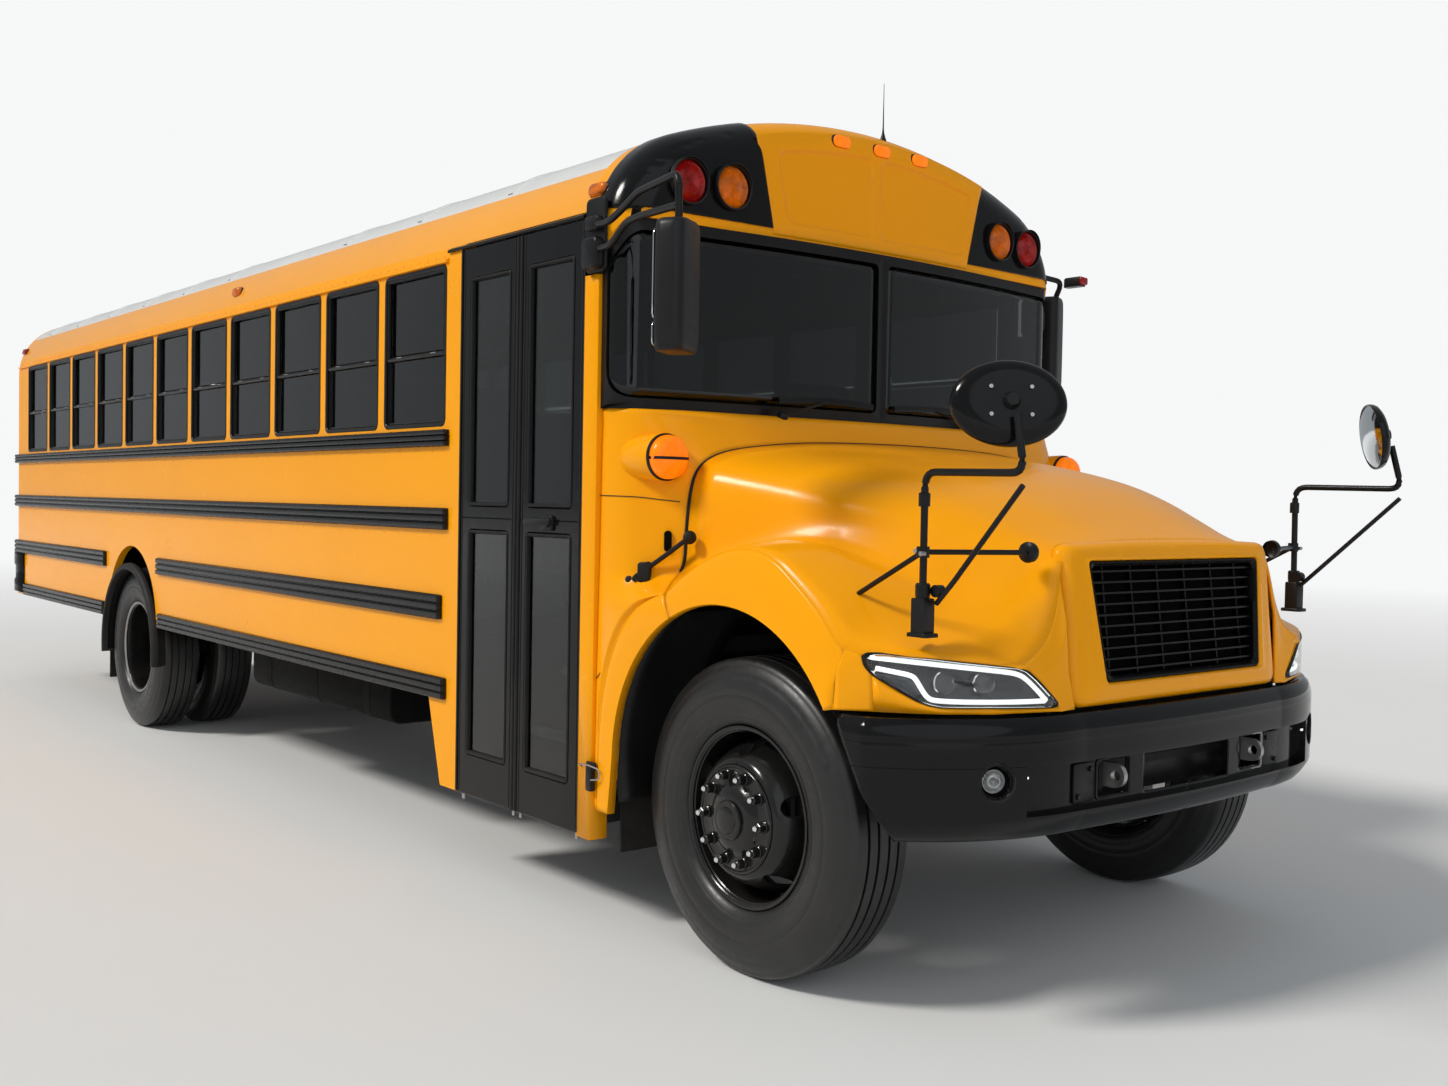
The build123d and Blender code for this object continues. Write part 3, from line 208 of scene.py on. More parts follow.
nodeFinish = {
    "bodyYellow": "rear_wall side_wall_left side_wall_right front_cap cowl hood emergency_door",
    "roofPaint": "roof",
    "roofWhite": "roof_hatch",
    "glossBlack": "bumper_front bumper_rear grille door_leaf_front door_leaf_rear",
    "satinBlack": "window_frames rub_rails stop_arm_base wipers antenna steering_wheel dashboard "
                  "cross_view_mirrors rear_view_mirrors",
    "blackRubber": "windshield_frame arch_flares mud_flaps",
    "tintedGlass": "side_glass emergency_door_glass",
    "clearGlass": "door_glass_front door_glass_rear",
    "darkGlass": "windshield",
    "redLens": "lamps_red",
    "amberLens": "lamps_amber",
    "lampGlass": "headlamps",
    "chassisBlack": "chassis_frame front_axle rear_axle knuckle_left knuckle_right driveshaft fuel_tank",
    "brightSteel": "leaf_springs exhaust bench_frames",
    "castIron": "engine",
    "aluminium": "radiator",
    "floorRubber": "cabin_floor entrance_steps",
    "benchVinyl": "bench_pads",
    "driverCloth": "driver_seat",
    "stopRed": "stop_arm",
    "tyreRubber": "tyre_front_left tyre_front_right tyres_rear_left tyres_rear_right",
    "wheelBlack": "wheel_front_left wheel_front_right wheels_rear_left wheels_rear_right",
}
for finish, names in nodeFinish.items():
    for name in names.split():
        nodes[name].data.materials.clear()
        nodes[name].data.materials.append(materials[finish])
print("CAD nodes finished")


# a shape is (points, [faces with k corners each, ...]); this one has quads between a grid's rows and columns
def gridShape(points, closeU=False, closeV=False, flip=False):
    points = np.asarray(points, float)
    rows, columns = points.shape[:2]
    u = np.arange(rows if closeU else rows - 1)[:, None]
    v = np.arange(columns if closeV else columns - 1)[None, :]
    nextU, nextV = (u + 1) % rows, (v + 1) % columns
    quads = np.stack([u * columns + v, nextU * columns + v, nextU * columns + nextV, u * columns + nextV], -1)
    quads = quads.reshape(-1, 4)
    return points.reshape(-1, 3), [quads[:, ::-1] if flip else quads]


# a stack of closed outlines with a flat face on each end
def capped(grid, flip=False):
    grid = np.asarray(grid, float)
    points, faces = gridShape(grid, closeV=True, flip=flip)
    ends = np.arange(grid.shape[1])
    return points, faces + [ends[None, ::-1], (ends + (len(grid) - 1) * len(ends))[None]]


# several shapes as one, each one's faces numbered on from the points before it
def joinShapes(shapes):
    offset, allPoints, allFaces = 0, [], []
    for points, faces in shapes:
        allPoints.append(points)
        allFaces += [group + offset for group in faces]
        offset += len(points)
    return np.concatenate(allPoints), allFaces


def moved(shape, move):
    return shape[0] + np.asarray(move, float), shape[1]


# the same shape on the other side of the bus, its faces kept outward
def mirrored(shape):
    return shape[0] * (1, -1, 1), [group[:, ::-1] for group in shape[1]]


# vectors divided by their own length
def unit(vectors):
    return vectors / np.maximum(np.linalg.norm(vectors, axis=-1, keepdims=True), 1e-12)


# coordinates, any of them an array, as one array of points
def spread(*parts):
    return np.stack(np.broadcast_arrays(*parts), -1).astype(float)


# how far each point of a line lies from its start, along the line
def pathLength(line):
    return np.concatenate([[0], np.cumsum(np.linalg.norm(np.diff(line, axis=0), axis=1))])


# a line's points again at equal steps of its length
def resampled(line, count, scale=(1, 1, 1), endpoint=True):
    line = np.asarray(line, float)
    steps = pathLength(line * scale[:line.shape[1]])
    wanted = np.linspace(0, steps[-1], count, endpoint=endpoint)
    return np.stack([np.interp(wanted, steps, line[:, k]) for k in range(line.shape[1])], 1)


# the quadratic curve that rounds a corner
def bendCurve(start, corner, end, t):
    return (1 - t) ** 2 * start + 2 * t * (1 - t) * corner + t ** 2 * end


# straight runs joined by curves that start the bend's length before each inner corner
def roundedPath(points, bend, steps=6):
    points = np.asarray(points, float)
    before, corner, after = points[:-2], points[1:-1], points[2:]
    inLength = np.linalg.norm(corner - before, axis=1)
    outLength = np.linalg.norm(after - corner, axis=1)
    reach = np.minimum(bend, np.minimum(inLength, outLength) * .48)[:, None]
    start = corner + (before - corner) / inLength[:, None] * reach
    end = corner + (after - corner) / outLength[:, None] * reach
    curves = bendCurve(start[:, None], corner[:, None], end[:, None], np.linspace(0, 1, steps)[None, :, None])
    return np.concatenate([points[:1], curves.reshape(-1, 3), points[-1:]])


# a profile of (across, up) offsets carried along a path, square to it, with flat ends
def carried(profile, path, up=(0, 0, 1)):
    profile, path = np.asarray(profile, float), np.asarray(path, float)
    tangent = unit(np.gradient(path, axis=0))
    across = np.cross(tangent, np.asarray(up, float))
    weak = np.linalg.norm(across, axis=1) < 1e-3
    across[weak] = np.cross(tangent[weak], (1.0, 0.0, 0.0))
    across = unit(across)
    upward = unit(np.cross(across, tangent))
    return capped(path[:, None] + profile[None, :, :1] * across[:, None]
                  + profile[None, :, 1:] * upward[:, None])


# equal angles once round, without the last
def circle(count):
    return np.arange(count) * 2 * math.pi / count


# an ellipse as a profile: its radius across, and flat times that upward
def ringProfile(radius, sides=12, flat=1.0):
    turn = circle(sides)
    return np.stack([radius * np.cos(turn), radius * flat * np.sin(turn)], 1)


# a round bar along points, its corners rounded
def tube(points, radius, bend=.05, sides=12):
    path = roundedPath(points, bend) if len(points) > 2 else points
    return carried(ringProfile(radius, sides), path)


# a centred rectangle with rounded corners
def roundedOutline(width, height, radius, steps=5):
    turn = np.linspace(0, math.pi / 2, steps)
    return np.concatenate([
        np.stack([sx * (width / 2 - radius) + radius * np.cos(turn + quarter * math.pi / 2),
                  sy * (height / 2 - radius) + radius * np.sin(turn + quarter * math.pi / 2)], 1)
        for sx, sy, quarter in ((1, 1, 0), (-1, 1, 1), (-1, -1, 2), (1, -1, 3))])


planes = {"right": ((1, 0, 0), (0, 0, 1)), "left": ((-1, 0, 0), (0, 0, 1)), "front": ((0, 1, 0), (0, 0, 1)),
          "rear": ((0, -1, 0), (0, 0, 1)), "up": ((1, 0, 0), (0, 1, 0)), "latch": ((.78, .63, 0), (0, 0, 1))}


# an outline drawn on a plane and made thick the way it faces, its far edge eased
def plate(outline, origin, plane, depth, edge=0.0):
    outline = np.asarray(outline, float)
    axes = planes[plane] if isinstance(plane, str) else plane
    xAxis, yAxis = (unit(np.asarray(axis, float)) for axis in axes)
    centre = outline.mean(0)
    size = np.abs(outline - centre).max()
    levels = [(0.0, 0.0), (depth - edge, 0.0), (depth - edge * .3, edge * .4), (depth, edge)] if edge \
        else [(0.0, 0.0), (depth, 0.0)]
    layers = []
    for rise, inset in levels:
        inner = centre + (outline - centre) * (1 - inset / size)
        layers.append(np.asarray(origin) + np.outer(inner[:, 0], xAxis) + np.outer(inner[:, 1], yAxis)
                      + np.cross(xAxis, yAxis) * rise)
    return capped(layers, flip=True)


# a rounded plate: width, height, corner radius and steps of each corner
def block(size, origin, plane, depth, edge=0.0):
    return plate(roundedOutline(*size), origin, plane, depth, edge)


# copies of a flat outline along an axis, each at its own depth and share of its size
def rings(outline, centre, axis, steps):
    return np.stack([np.insert(np.asarray(centre) + outline * grow, axis, depth, axis=1)
                     for depth, grow in steps])


# the same outlines joined into a closed ring of sheet, the last back to the first
def ringTube(*layout):
    return gridShape(rings(*layout), closeU=True, closeV=True)


# a profile of (along, radius) pairs turned round an axis
def lathe(profile, sides=96, axisPoint=(0, 0, 0), axis=(0, 1, 0), closed=False):
    profile = np.asarray(profile, float)
    axis = unit(np.asarray(axis, float))
    first = unit(np.cross(axis, (0.0, 0.0, 1.0) if abs(axis[2]) < .9 else (1.0, 0.0, 0.0)))
    turn = circle(sides)
    wheel = np.outer(np.cos(turn), first) + np.outer(np.sin(turn), np.cross(axis, first))
    grid = np.asarray(axisPoint) + profile[None, :, :1] * axis + profile[None, :, 1:] * wheel[:, None]
    return gridShape(grid, closeU=True, closeV=closed)


# a plain round bar between two places along an axis, closed at its middle
def pin(low, high, radius, sides, place, axis, middle=.0001):
    return lathe([(low, middle), (low, radius), (high, radius), (high, middle)], sides, place, axis)


# half an ellipsoid as a profile for the lathe, from its rim to its middle
def lensDome(radius, height, rows, middle=1e-5):
    turn = np.linspace(0, math.pi / 2, rows)
    return np.stack([height * np.sin(turn), radius * np.cos(turn) + middle], 1)


# clamped B-spline basis: its knots, the parameters that each control point pulls most, and one row a sample
def splineKnots(count, degree=3):
    degree = min(degree, count - 1)
    return degree, np.concatenate([np.zeros(degree), np.linspace(0, 1, count - degree + 1), np.ones(degree)])


def greville(count):
    degree, knots = splineKnots(count)
    return np.array([knots[i + 1:i + degree + 1].mean() for i in range(count)])


def splineWeights(count, samples):
    degree, knots = splineKnots(count)
    t = np.clip(samples, 0, 1 - 1e-9)[:, None]
    basis = ((t >= knots[None, :-1]) & (t < knots[None, 1:])).astype(float)
    for order in range(1, degree + 1):
        left = knots[order:-1] - knots[:-order - 1]
        right = knots[order + 1:] - knots[1:-order]
        rising = np.where(left > 0, (t - knots[:-order - 1]) / np.where(left > 0, left, 1), 0)
        falling = np.where(right > 0, (knots[order + 1:] - t) / np.where(right > 0, right, 1), 0)
        basis = rising * basis[:, :-1] + falling * basis[:, 1:]
    return basis


# points of the curve that control points pull, at equal steps of its parameter
def splineCurve(points, samples):
    points = np.asarray(points, float)
    return splineWeights(len(points), np.linspace(0, 1, samples)) @ points


# the control net whose surface passes through a grid of points, and points of such a surface
def splineNet(data):
    data = np.asarray(data, float)
    rows, columns = data.shape[:2]
    net = np.linalg.solve(splineWeights(rows, greville(rows)), data.reshape(rows, -1)).reshape(data.shape)
    turned = net.transpose(1, 0, 2).reshape(columns, -1)
    net = np.linalg.solve(splineWeights(columns, greville(columns)), turned)
    return net.reshape(columns, rows, 3).transpose(1, 0, 2)


def surfaceAt(net, u, v):
    return np.einsum("ui,vj,ijk->uvk", splineWeights(net.shape[0], np.asarray(u, float)),
                     splineWeights(net.shape[1], np.asarray(v, float)), net)


# a patch between four edges: the two ruled surfaces added, the corners' blend taken away
def coons(low, high, start, end):
    low, high, start, end = (np.asarray(edge, float) for edge in (low, high, start, end))
    u = np.linspace(0, 1, len(start))[:, None, None]
    v = np.linspace(0, 1, len(low))[None, :, None]
    ruled = (1 - u) * low[None] + u * high[None] + (1 - v) * start[:, None] + v * end[:, None]
    return ruled - ((1 - u) * (1 - v) * low[0] + (1 - u) * v * low[-1]
                    + u * (1 - v) * high[0] + u * v * high[-1])


# a closed loop along corners, each rounded by its own radius, with the same count of points for any sizes
def cornerLoop(corners, radii, perEdge, perCorner):
    corners = np.asarray(corners, float)
    curves = []
    for index, here in enumerate(corners):
        before, after = corners[index - 1], corners[(index + 1) % len(corners)]
        start, end = here + unit(before - here) * radii[index], here + unit(after - here) * radii[index]
        curves.append(bendCurve(start, here, end, np.linspace(0, 1, perCorner)[:, None]))
    pieces = []
    for index, curve in enumerate(curves):
        run = curves[(index + 1) % len(curves)][0] - curve[-1]
        pieces += [curve, curve[-1] + run * np.linspace(0, 1, perEdge + 2)[1:-1, None]]
    return np.concatenate(pieces)


# a mesh of points and groups of faces
def meshFrom(name, points, faces):
    mesh = bpy.data.meshes.new(name)
    mesh.from_pydata(points.tolist(), [], [face for group in faces for face in group.tolist()])
    return mesh


# puts shapes, given ahead of the front axle, into one piece; a solid has its doubles merged and its normals
# recalculated, a merged sheet has its doubles merged and, where its outward way is given, faces that way, and
# a thick or loose one is left as it is drawn
def addPiece(name, shapes, finish, body="bus", slot=None, replaces=(), both=False, sharp=35, thick=0.0,
        merge=False, loose=False, outward=None):
    points, faces = joinShapes(shapes) if isinstance(shapes, list) else shapes
    if both:
        points, faces = joinShapes([(points, faces), mirrored((points, faces))])
    mesh = meshFrom(name, points + (frontAxle, 0, 0), faces)
    mesh.materials.append(materials[finish])
    solid = not (thick or merge or loose)
    if solid or merge:
        editor = bmesh.new()
        editor.from_mesh(mesh)
        bmesh.ops.remove_doubles(editor, verts=editor.verts, dist=3e-5)
        if solid or outward:
            bmesh.ops.recalc_face_normals(editor, faces=editor.faces)
        if outward and sum(face.normal.dot(Vector(outward)) * face.calc_area() for face in editor.faces) < 0:
            bmesh.ops.reverse_faces(editor, faces=editor.faces)
        editor.to_mesh(mesh)
        editor.free()
    mesh.validate()
    mesh.shade_smooth()
    mesh.set_sharp_from_angle(angle=math.radians(sharp))
    piece = bpy.data.objects.new(name, mesh)
    bpy.context.scene.collection.objects.link(piece)
    if thick:
        solidify = piece.modifiers.new("thickness", "SOLIDIFY")
        solidify.thickness, solidify.offset = thick, -1
    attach(piece, body)
    if replaces:
        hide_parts(*replaces.split())
    return piece


# studio: a pale floor that fades into the backdrop, two soft lamps and the photograph's camera
studio = {"half": 90.0, "colour": (.8, .8, .79), "nearFade": 9.0, "farFade": 26.0,
          "backdrop": (.93, .935, .94, 1), "ambient": (.9, .95, 1.0, 1), "ambientStrength": .36,
          "glossShare": .06}   # how much of the pale backdrop the gloss of paint and metal shows


# 1 for the rays that see the backdrop: camera and transmission rays, and a share of the glossy ones
def backdropRays(tree, glossShare):
    rays = tree.nodes.new("ShaderNodeLightPath").outputs
    glossy = rays["Is Glossy Ray"]
    if glossShare < 1:
        glossy = mathNode(tree, "MULTIPLY", glossy, glossShare)
    return mathNode(tree, "MAXIMUM", rays["Is Camera Ray"],
        mathNode(tree, "MAXIMUM", glossy, rays["Is Transmission Ray"]))


corners = np.array([(-1, -1, 0), (1, -1, 0), (1, 1, 0), (-1, 1, 0)], float) * studio["half"]
floorMesh = meshFrom("studioFloor", corners - (0, 0, .0005), [np.arange(4)[None]])
floorPiece = bpy.data.objects.new("studioFloor", floorMesh)
bpy.context.scene.collection.objects.link(floorPiece)
tree, shader, coordinates = newMaterial("studioFloorPaint")
far = rangeNode(tree, addNode(tree, "VectorMath", {0: coordinates}, "Value", operation="LENGTH"),
    studio["nearFade"], studio["farFade"], 0, 1)
setInputs(tree, shader, {"Roughness": .9, "Base Color": mixNode(
    tree, noiseNode(tree, coordinates, .8), scaled(studio["colour"], .98), studio["colour"])})
faded = addNode(tree, "MixShader", {0: mathNode(tree, "MULTIPLY", far, backdropRays(tree, 1)),
    1: shader.outputs[0], 2: addNode(tree, "Emission", {"Color": studio["backdrop"]})})
setInputs(tree, tree.nodes["Material Output"], {"Surface": faded})
floorMesh.materials.append(materials["studioFloorPaint"])

world = bpy.data.worlds.new("studio")
bpy.context.scene.world = world
world.use_nodes = True
tree = world.node_tree
ambient = tree.nodes["Background"]
setInputs(tree, ambient, {"Color": studio["ambient"], "Strength": studio["ambientStrength"]})
mixed = addNode(tree, "MixShader", {0: backdropRays(tree, studio["glossShare"]), 1: ambient.outputs[0],
                                    2: addNode(tree, "Background", {"Color": studio["backdrop"]})})
setInputs(tree, tree.nodes["World Output"], {"Surface": mixed})

lamps = {   # name: direction the light comes from, strength, softness in degrees, colour
    "keyLamp": ((-.4, -1.0, 1.05), 2.15, 12, (1.0, .97, .92)),
    "fillLamp": ((1.0, -.35, .55), .5, 60, (.92, .96, 1.0)),
}
for name, (source, strength, softness, colour) in lamps.items():
    lamp = bpy.data.lights.new(name, "SUN")
    lamp.energy, lamp.angle, lamp.color = strength, math.radians(softness), colour
    lampObject = bpy.data.objects.new(name, lamp)
    lampObject.rotation_mode = "QUATERNION"
    lampObject.rotation_quaternion = Vector(source).to_track_quat("Z", "Y")
    bpy.context.scene.collection.objects.link(lampObject)

camera = {"ahead": 3.4221, "side": -4.0382, "height": 1.543, "yaw": 2.4516, "pitch": -.0295, "roll": .0183,
          "lens": 34.706}
yaw, pitch, roll = camera["yaw"], camera["pitch"], camera["roll"]
forward = Vector((math.cos(pitch) * math.cos(yaw), math.cos(pitch) * math.sin(yaw), math.sin(pitch)))
levelRight = Vector((math.sin(yaw), -math.cos(yaw), 0))
levelUp = levelRight.cross(forward)
right = levelRight * math.cos(roll) + levelUp * math.sin(roll)
upward = -levelRight * math.sin(roll) + levelUp * math.cos(roll)
cameraData = bpy.data.cameras.new("photoCamera")
cameraData.lens, cameraData.sensor_width = camera["lens"], 36
cameraData.clip_start, cameraData.clip_end = .05, 500
cameraObject = bpy.data.objects.new("photoCamera", cameraData)
turned = Matrix((right, upward, -forward)).transposed().to_4x4()
turned.translation = Vector((frontAxle + camera["ahead"], camera["side"], camera["height"]))
cameraObject.matrix_world = turned
bpy.context.scene.collection.objects.link(cameraObject)
bpy.context.scene.camera = cameraObject
bpy.context.scene.view_settings.view_transform = "Standard"
print("studio made")

hood = {"rows": 64, "columns": 72, "sheet": .01, "archCentre": (-.02, .636), "archRadius": .578,
        "archSide": 1.216, "foot": .942, "grilleHalf": .59, "edgeSamples": 28, "bandSamples": 60}
# one row for each crosswise section from the cowl to the nose, from the middle out to the flare's crease
hoodData = [
    [(-.388, 0, 1.777), (-.388, .35, 1.772), (-.388, .68, 1.751), (-.388, .88, 1.722), (-.39, 1.0, 1.668),
     (-.393, 1.043, 1.56), (-.398, 1.052, 1.42), (-.402, 1.062, 1.315), (-.395, 1.11, 1.268),
     (-.324, 1.198, 1.231)],
    [(-.15, 0, 1.745), (-.15, .33, 1.739), (-.15, .62, 1.716), (-.15, .81, 1.684), (-.15, .93, 1.625),
     (-.15, .968, 1.53), (-.15, .985, 1.44), (-.15, 1.02, 1.38), (-.14, 1.095, 1.372), (-.128, 1.188, 1.35)],
    [(.1, 0, 1.705), (.1, .3, 1.699), (.1, .56, 1.677), (.1, .74, 1.644), (.1, .855, 1.58),
     (.1, .89, 1.505), (.1, .915, 1.445), (.1, .965, 1.413), (.11, 1.065, 1.423), (.12, 1.184, 1.392)],
    [(.28, 0, 1.668), (.28, .28, 1.662), (.28, .52, 1.64), (.28, .69, 1.605), (.28, .795, 1.545),
     (.28, .83, 1.478), (.28, .86, 1.42), (.28, .915, 1.383), (.285, 1.04, 1.376), (.29, 1.184, 1.318)],
    [(.43, 0, 1.62), (.43, .26, 1.615), (.43, .48, 1.594), (.43, .64, 1.557), (.43, .735, 1.5),
     (.43, .775, 1.435), (.43, .81, 1.375), (.43, .87, 1.325), (.43, 1.01, 1.287), (.43, 1.183, 1.205)],
    [(.52, 0, 1.583), (.52, .25, 1.578), (.52, .46, 1.557), (.52, .61, 1.522), (.52, .7, 1.468),
     (.52, .74, 1.405), (.52, .78, 1.34), (.52, .845, 1.283), (.52, .985, 1.222), (.512, 1.172, 1.118)],
    [(.62, 0, 1.537), (.62, .235, 1.533), (.62, .43, 1.513), (.62, .575, 1.482), (.62, .66, 1.435),
     (.62, .7, 1.372), (.62, .74, 1.308), (.62, .81, 1.245), (.623, .945, 1.175), (.625, 1.104, 1.113)],
    [(.74, 0, 1.48), (.74, .215, 1.477), (.74, .4, 1.463), (.74, .53, 1.44), (.74, .61, 1.402),
     (.74, .65, 1.345), (.74, .685, 1.285), (.74, .745, 1.215), (.747, .857, 1.145), (.753, .981, 1.102)],
    [(.828, 0, 1.442), (.828, .2, 1.44), (.828, .38, 1.433), (.828, .5, 1.42), (.832, .572, 1.392),
     (.84, .6, 1.335), (.848, .618, 1.26), (.853, .65, 1.185), (.857, .715, 1.118), (.859, .796, 1.076)],
]
creaseRow, wallColumn = 5, 5   # where the flare's crease ends, and where the nose's side starts
foot = hood["foot"]
hoodNet = splineNet(hoodData)
rowParameters, columnParameters = greville(len(hoodData)), greville(len(hoodData[0]))
topSkin = surfaceAt(hoodNet, np.linspace(0, 1, hood["rows"]), np.linspace(0, 1, hood["columns"]))


# the nose plane leans back as it rises
def noseX(height):
    return .915 - np.tan(np.radians(7.0)) * (height - .95)


# one edge of the nose or the fender, with the count of points that all of them share
def edgeLine(*points):
    return resampled(points, hood["edgeSamples"])


# the flare between its crease and the arch, swollen a little, then turned in behind the arch's lip
crease = surfaceAt(hoodNet, np.linspace(0, rowParameters[creaseRow], hood["bandSamples"]), [1.0])[:, 0]
flareTop = resampled([*crease, (.497, 1.196, 1.02), (.497, 1.2, foot)], hood["bandSamples"])
archTurn = np.radians(np.linspace(116.5, 31.5, hood["bandSamples"]))
archLip = spread(hood["archCentre"][0] + hood["archRadius"] * np.cos(archTurn), hood["archSide"],
                 hood["archCentre"][1] + hood["archRadius"] * np.sin(archTurn))
across = np.array([0, .08, .2, .35, .5, .65, .8, .9, .96, 1.0])
swell = np.array([0, .35, .8, 1, .95, .8, .5, .3, .1, 0]) * .006
flare = flareTop[:, None] * (1 - across)[None, :, None] + archLip[:, None] * across[None, :, None]
flare[:, :, 1] = np.minimum(flare[:, :, 1] + swell[None], 1.2175)
flare = np.concatenate([flare, (archLip - (0, .004, 0))[:, None], (archLip - (0, .03, 0))[:, None]], 1)
flare[:, -2, 1], flare[:, -3, 1] = hood["archSide"] - .005, hood["archSide"]
flare[:, -2:] += spread(-.003 * np.cos(archTurn), 0, -.003 * np.sin(archTurn))[:, None]

lampOuter = edgeLine((.512, 1.172, 1.118), (.559, 1.146, 1.104), (.565, 1.143, 1.074), (.586, 1.131, 1.047),
                     (.59, 1.129, .99), (.592, 1.128, foot))
flareFront = edgeLine((.512, 1.172, 1.118), (.498, 1.192, 1.06), (.497, 1.2, foot))
footRun = resampled([flareFront[-1], lampOuter[-1]], 8)
fenderFront = coons(np.repeat(flareFront[:1], 8, 0), footRun, flareFront, lampOuter)
lampInner = edgeLine((.859, .796, 1.076), (.862, .767, 1.066), (.871, .731, 1.038), (.884, .654, .969),
                     (.885, .652, .957), (.893, .64, foot))
rowEnd = surfaceAt(hoodNet, [1.0], np.linspace(columnParameters[wallColumn], 1, hood["edgeSamples"]))[0]
noseEdge = edgeLine(rowEnd[0], (.868, .598, 1.2), (.876, .592, 1.05), (.889, .575, foot))
noseSide = coons(noseEdge, lampInner, rowEnd, edgeLine(noseEdge[-1], lampInner[-1]))
underLampTop = edgeLine((.586, 1.131, 1.047), (.687, 1.053, .979), (.711, 1.029, .967), (.735, 1.003, .96),
                        (.817, .88, .96), (.882, .672, .953), (.885, .652, .957))
underLampFoot = edgeLine((.592, 1.128, foot), (.69, 1.05, foot), (.737, 1.001, foot), (.82, .876, foot),
                         (.893, .64, foot))
underLamp = np.stack([underLampTop, (underLampTop + underLampFoot) / 2 + (.001, .001, 0), underLampFoot])

# the nose: rings from inside the grille's opening to the outer edge, by share of the way out and depth
grilleLoop = cornerLoop([(.484, 1.383), (-.484, 1.383), (-.437, 1.013), (.437, 1.013)], [.018] * 4, 14, 8)
noseLoop = cornerLoop([(.59, 1.432), (-.59, 1.432), (-.578, foot), (.578, foot)], [.05] * 4, 14, 8)
ringSteps = [(0, -.06), (0, -.004), (.03, .003), (.09, .007), (.17, .004), (.26, 0), (.45, -.001),
    (.65, -.004), (.8, -.01), (.91, -.018), (1.0, -.032), (1.0, -.055)]
share, depth = np.array(ringSteps).T[..., None]
y, z = np.moveaxis(grilleLoop * (1 - share[..., None]) + noseLoop * share[..., None], -1, 0)
crown = 1 - (y / hood["grilleHalf"]) ** 2
noseRing = spread(noseX(z) + depth - .01 * (y / hood["grilleHalf"]) ** 4, y,
    z + .014 * crown * (z > 1.39) * share)
hoodHalf = joinShapes([gridShape(topSkin), gridShape(flare), gridShape(fenderFront, flip=True),
                       gridShape(noseSide, flip=True), gridShape(underLamp, flip=True)])
addPiece("hood_shell", [hoodHalf, mirrored(hoodHalf), gridShape(noseRing, closeV=True)], "bodyYellow", "hood",
         replaces="hood", sharp=50, thick=hood["sheet"], merge=True)


# the liner over a wheel: part of a tunnel, open to the outside and below
def archLiner(centre, radius, inside, outside, start, end, steps):
    turn = np.radians(np.linspace(start, end, steps))[:, None]
    sides = np.linspace(inside, outside, 6)[None]
    return gridShape(spread(centre[0] + radius * np.cos(turn), sides, centre[1] + radius * np.sin(turn)),
        flip=True)


addPiece("fender_liners", archLiner(hood["archCentre"], .615, .8, 1.185, 118, 30, 40), "satinBlack", "hood",
         "chassis_black", both=True, thick=.004)
print("hood made")

# wheels: profiles of (outward, radius) in millimetres
tyreHalf = [(0, 520), (17, 520), (18.5, 509), (26, 509), (27.5, 519.8), (58, 519), (59.5, 508), (67, 508),
    (68.5, 518.5), (96, 516.5), (104, 513), (110, 507), (114, 498), (116, 492), (119, 489), (124, 474),
    (127, 468), (127.5, 462), (131, 456), (135, 440), (138.5, 420), (139.5, 402), (138.2, 399), (139.5, 396),
    (139, 378), (136, 360), (134.8, 357), (134.5, 352), (130, 335), (127, 330), (127.5, 326), (122, 314),
    (113, 304), (104, 299), (96, 298)]
rimProfile = [(-108, 297), (-112, 292), (-108, 281), (-96, 277), (-60, 271), (60, 271), (84, 275), (94, 277),
              (97, 281), (101, 281.5), (104, 280), (110, 285), (112.5, 291), (111, 297), (104, 297.3),
              (96, 296), (90, 285), (-90, 285), (-98, 296)]
frontDome = [(-48, 271), (-36, 268), (-4, 259), (40, 246), (84, 229), (120, 211), (141, 193), (148, 178)]
frontHub = [(148, 178), (152, 176), (155, 172), (155, 168), (152, 165), (151, 122), (153, 118), (160, 110),
    (168, 98), (173, 80), (175, 66), (184, 64), (188, 60), (189, 44), (194, 41), (197, 30), (198, .01)]
rearDish = [(80, 271), (62, 262), (42, 242), (24, 218), (14, 200), (11, 190)]
rearHub = [(11, 190), (11, 122), (16, 116), (60, 108), (110, 102), (122, 96), (126, 84), (126, 62), (142, 58),
           (147, 50), (148, .01)]
rimEdge = [(104.5, 280.5), (108, 281.5), (110.5, 285.5), (113, 291), (111.5, 297.2), (108.5, 296.5)]
tyreHalf, rimProfile, frontDome, frontHub, rearDish, rearHub, rimEdge = (
    np.array(profile) / 1000
    for profile in (tyreHalf, rimProfile, frontDome, frontHub, rearDish, rearHub, rimEdge))
tyreProfile = np.concatenate([tyreHalf[::-1], tyreHalf[1:] * (-1, 1)])
outboard, boltCircle, wheelNuts, nutStart = (0, -1, 0), .1429, 10, .31
frontY, rearOuterY, dualSpacing = .995, 1.06, .343
dualMiddle = rearOuterY - dualSpacing / 2


# a profile of (outward, radius) turned round the axle line of the right side
def wheelShape(profile, x, y, sides=96, closed=True):
    return lathe(profile, sides, (x, -y, axleHeight), outboard, closed)


# copies of a shape turned round the axle line
def aroundAxle(shape, count, x, start=0.0):
    centre = np.array((x, 0, axleHeight))
    copies = []
    for angle in start + circle(count):
        cosine, sine = math.cos(angle), math.sin(angle)
        turnMatrix = np.array([[cosine, 0, sine], [0, 1, 0], [-sine, 0, cosine]])
        copies.append(((shape[0] - centre) @ turnMatrix.T + centre, shape[1]))
    return joinShapes(copies)


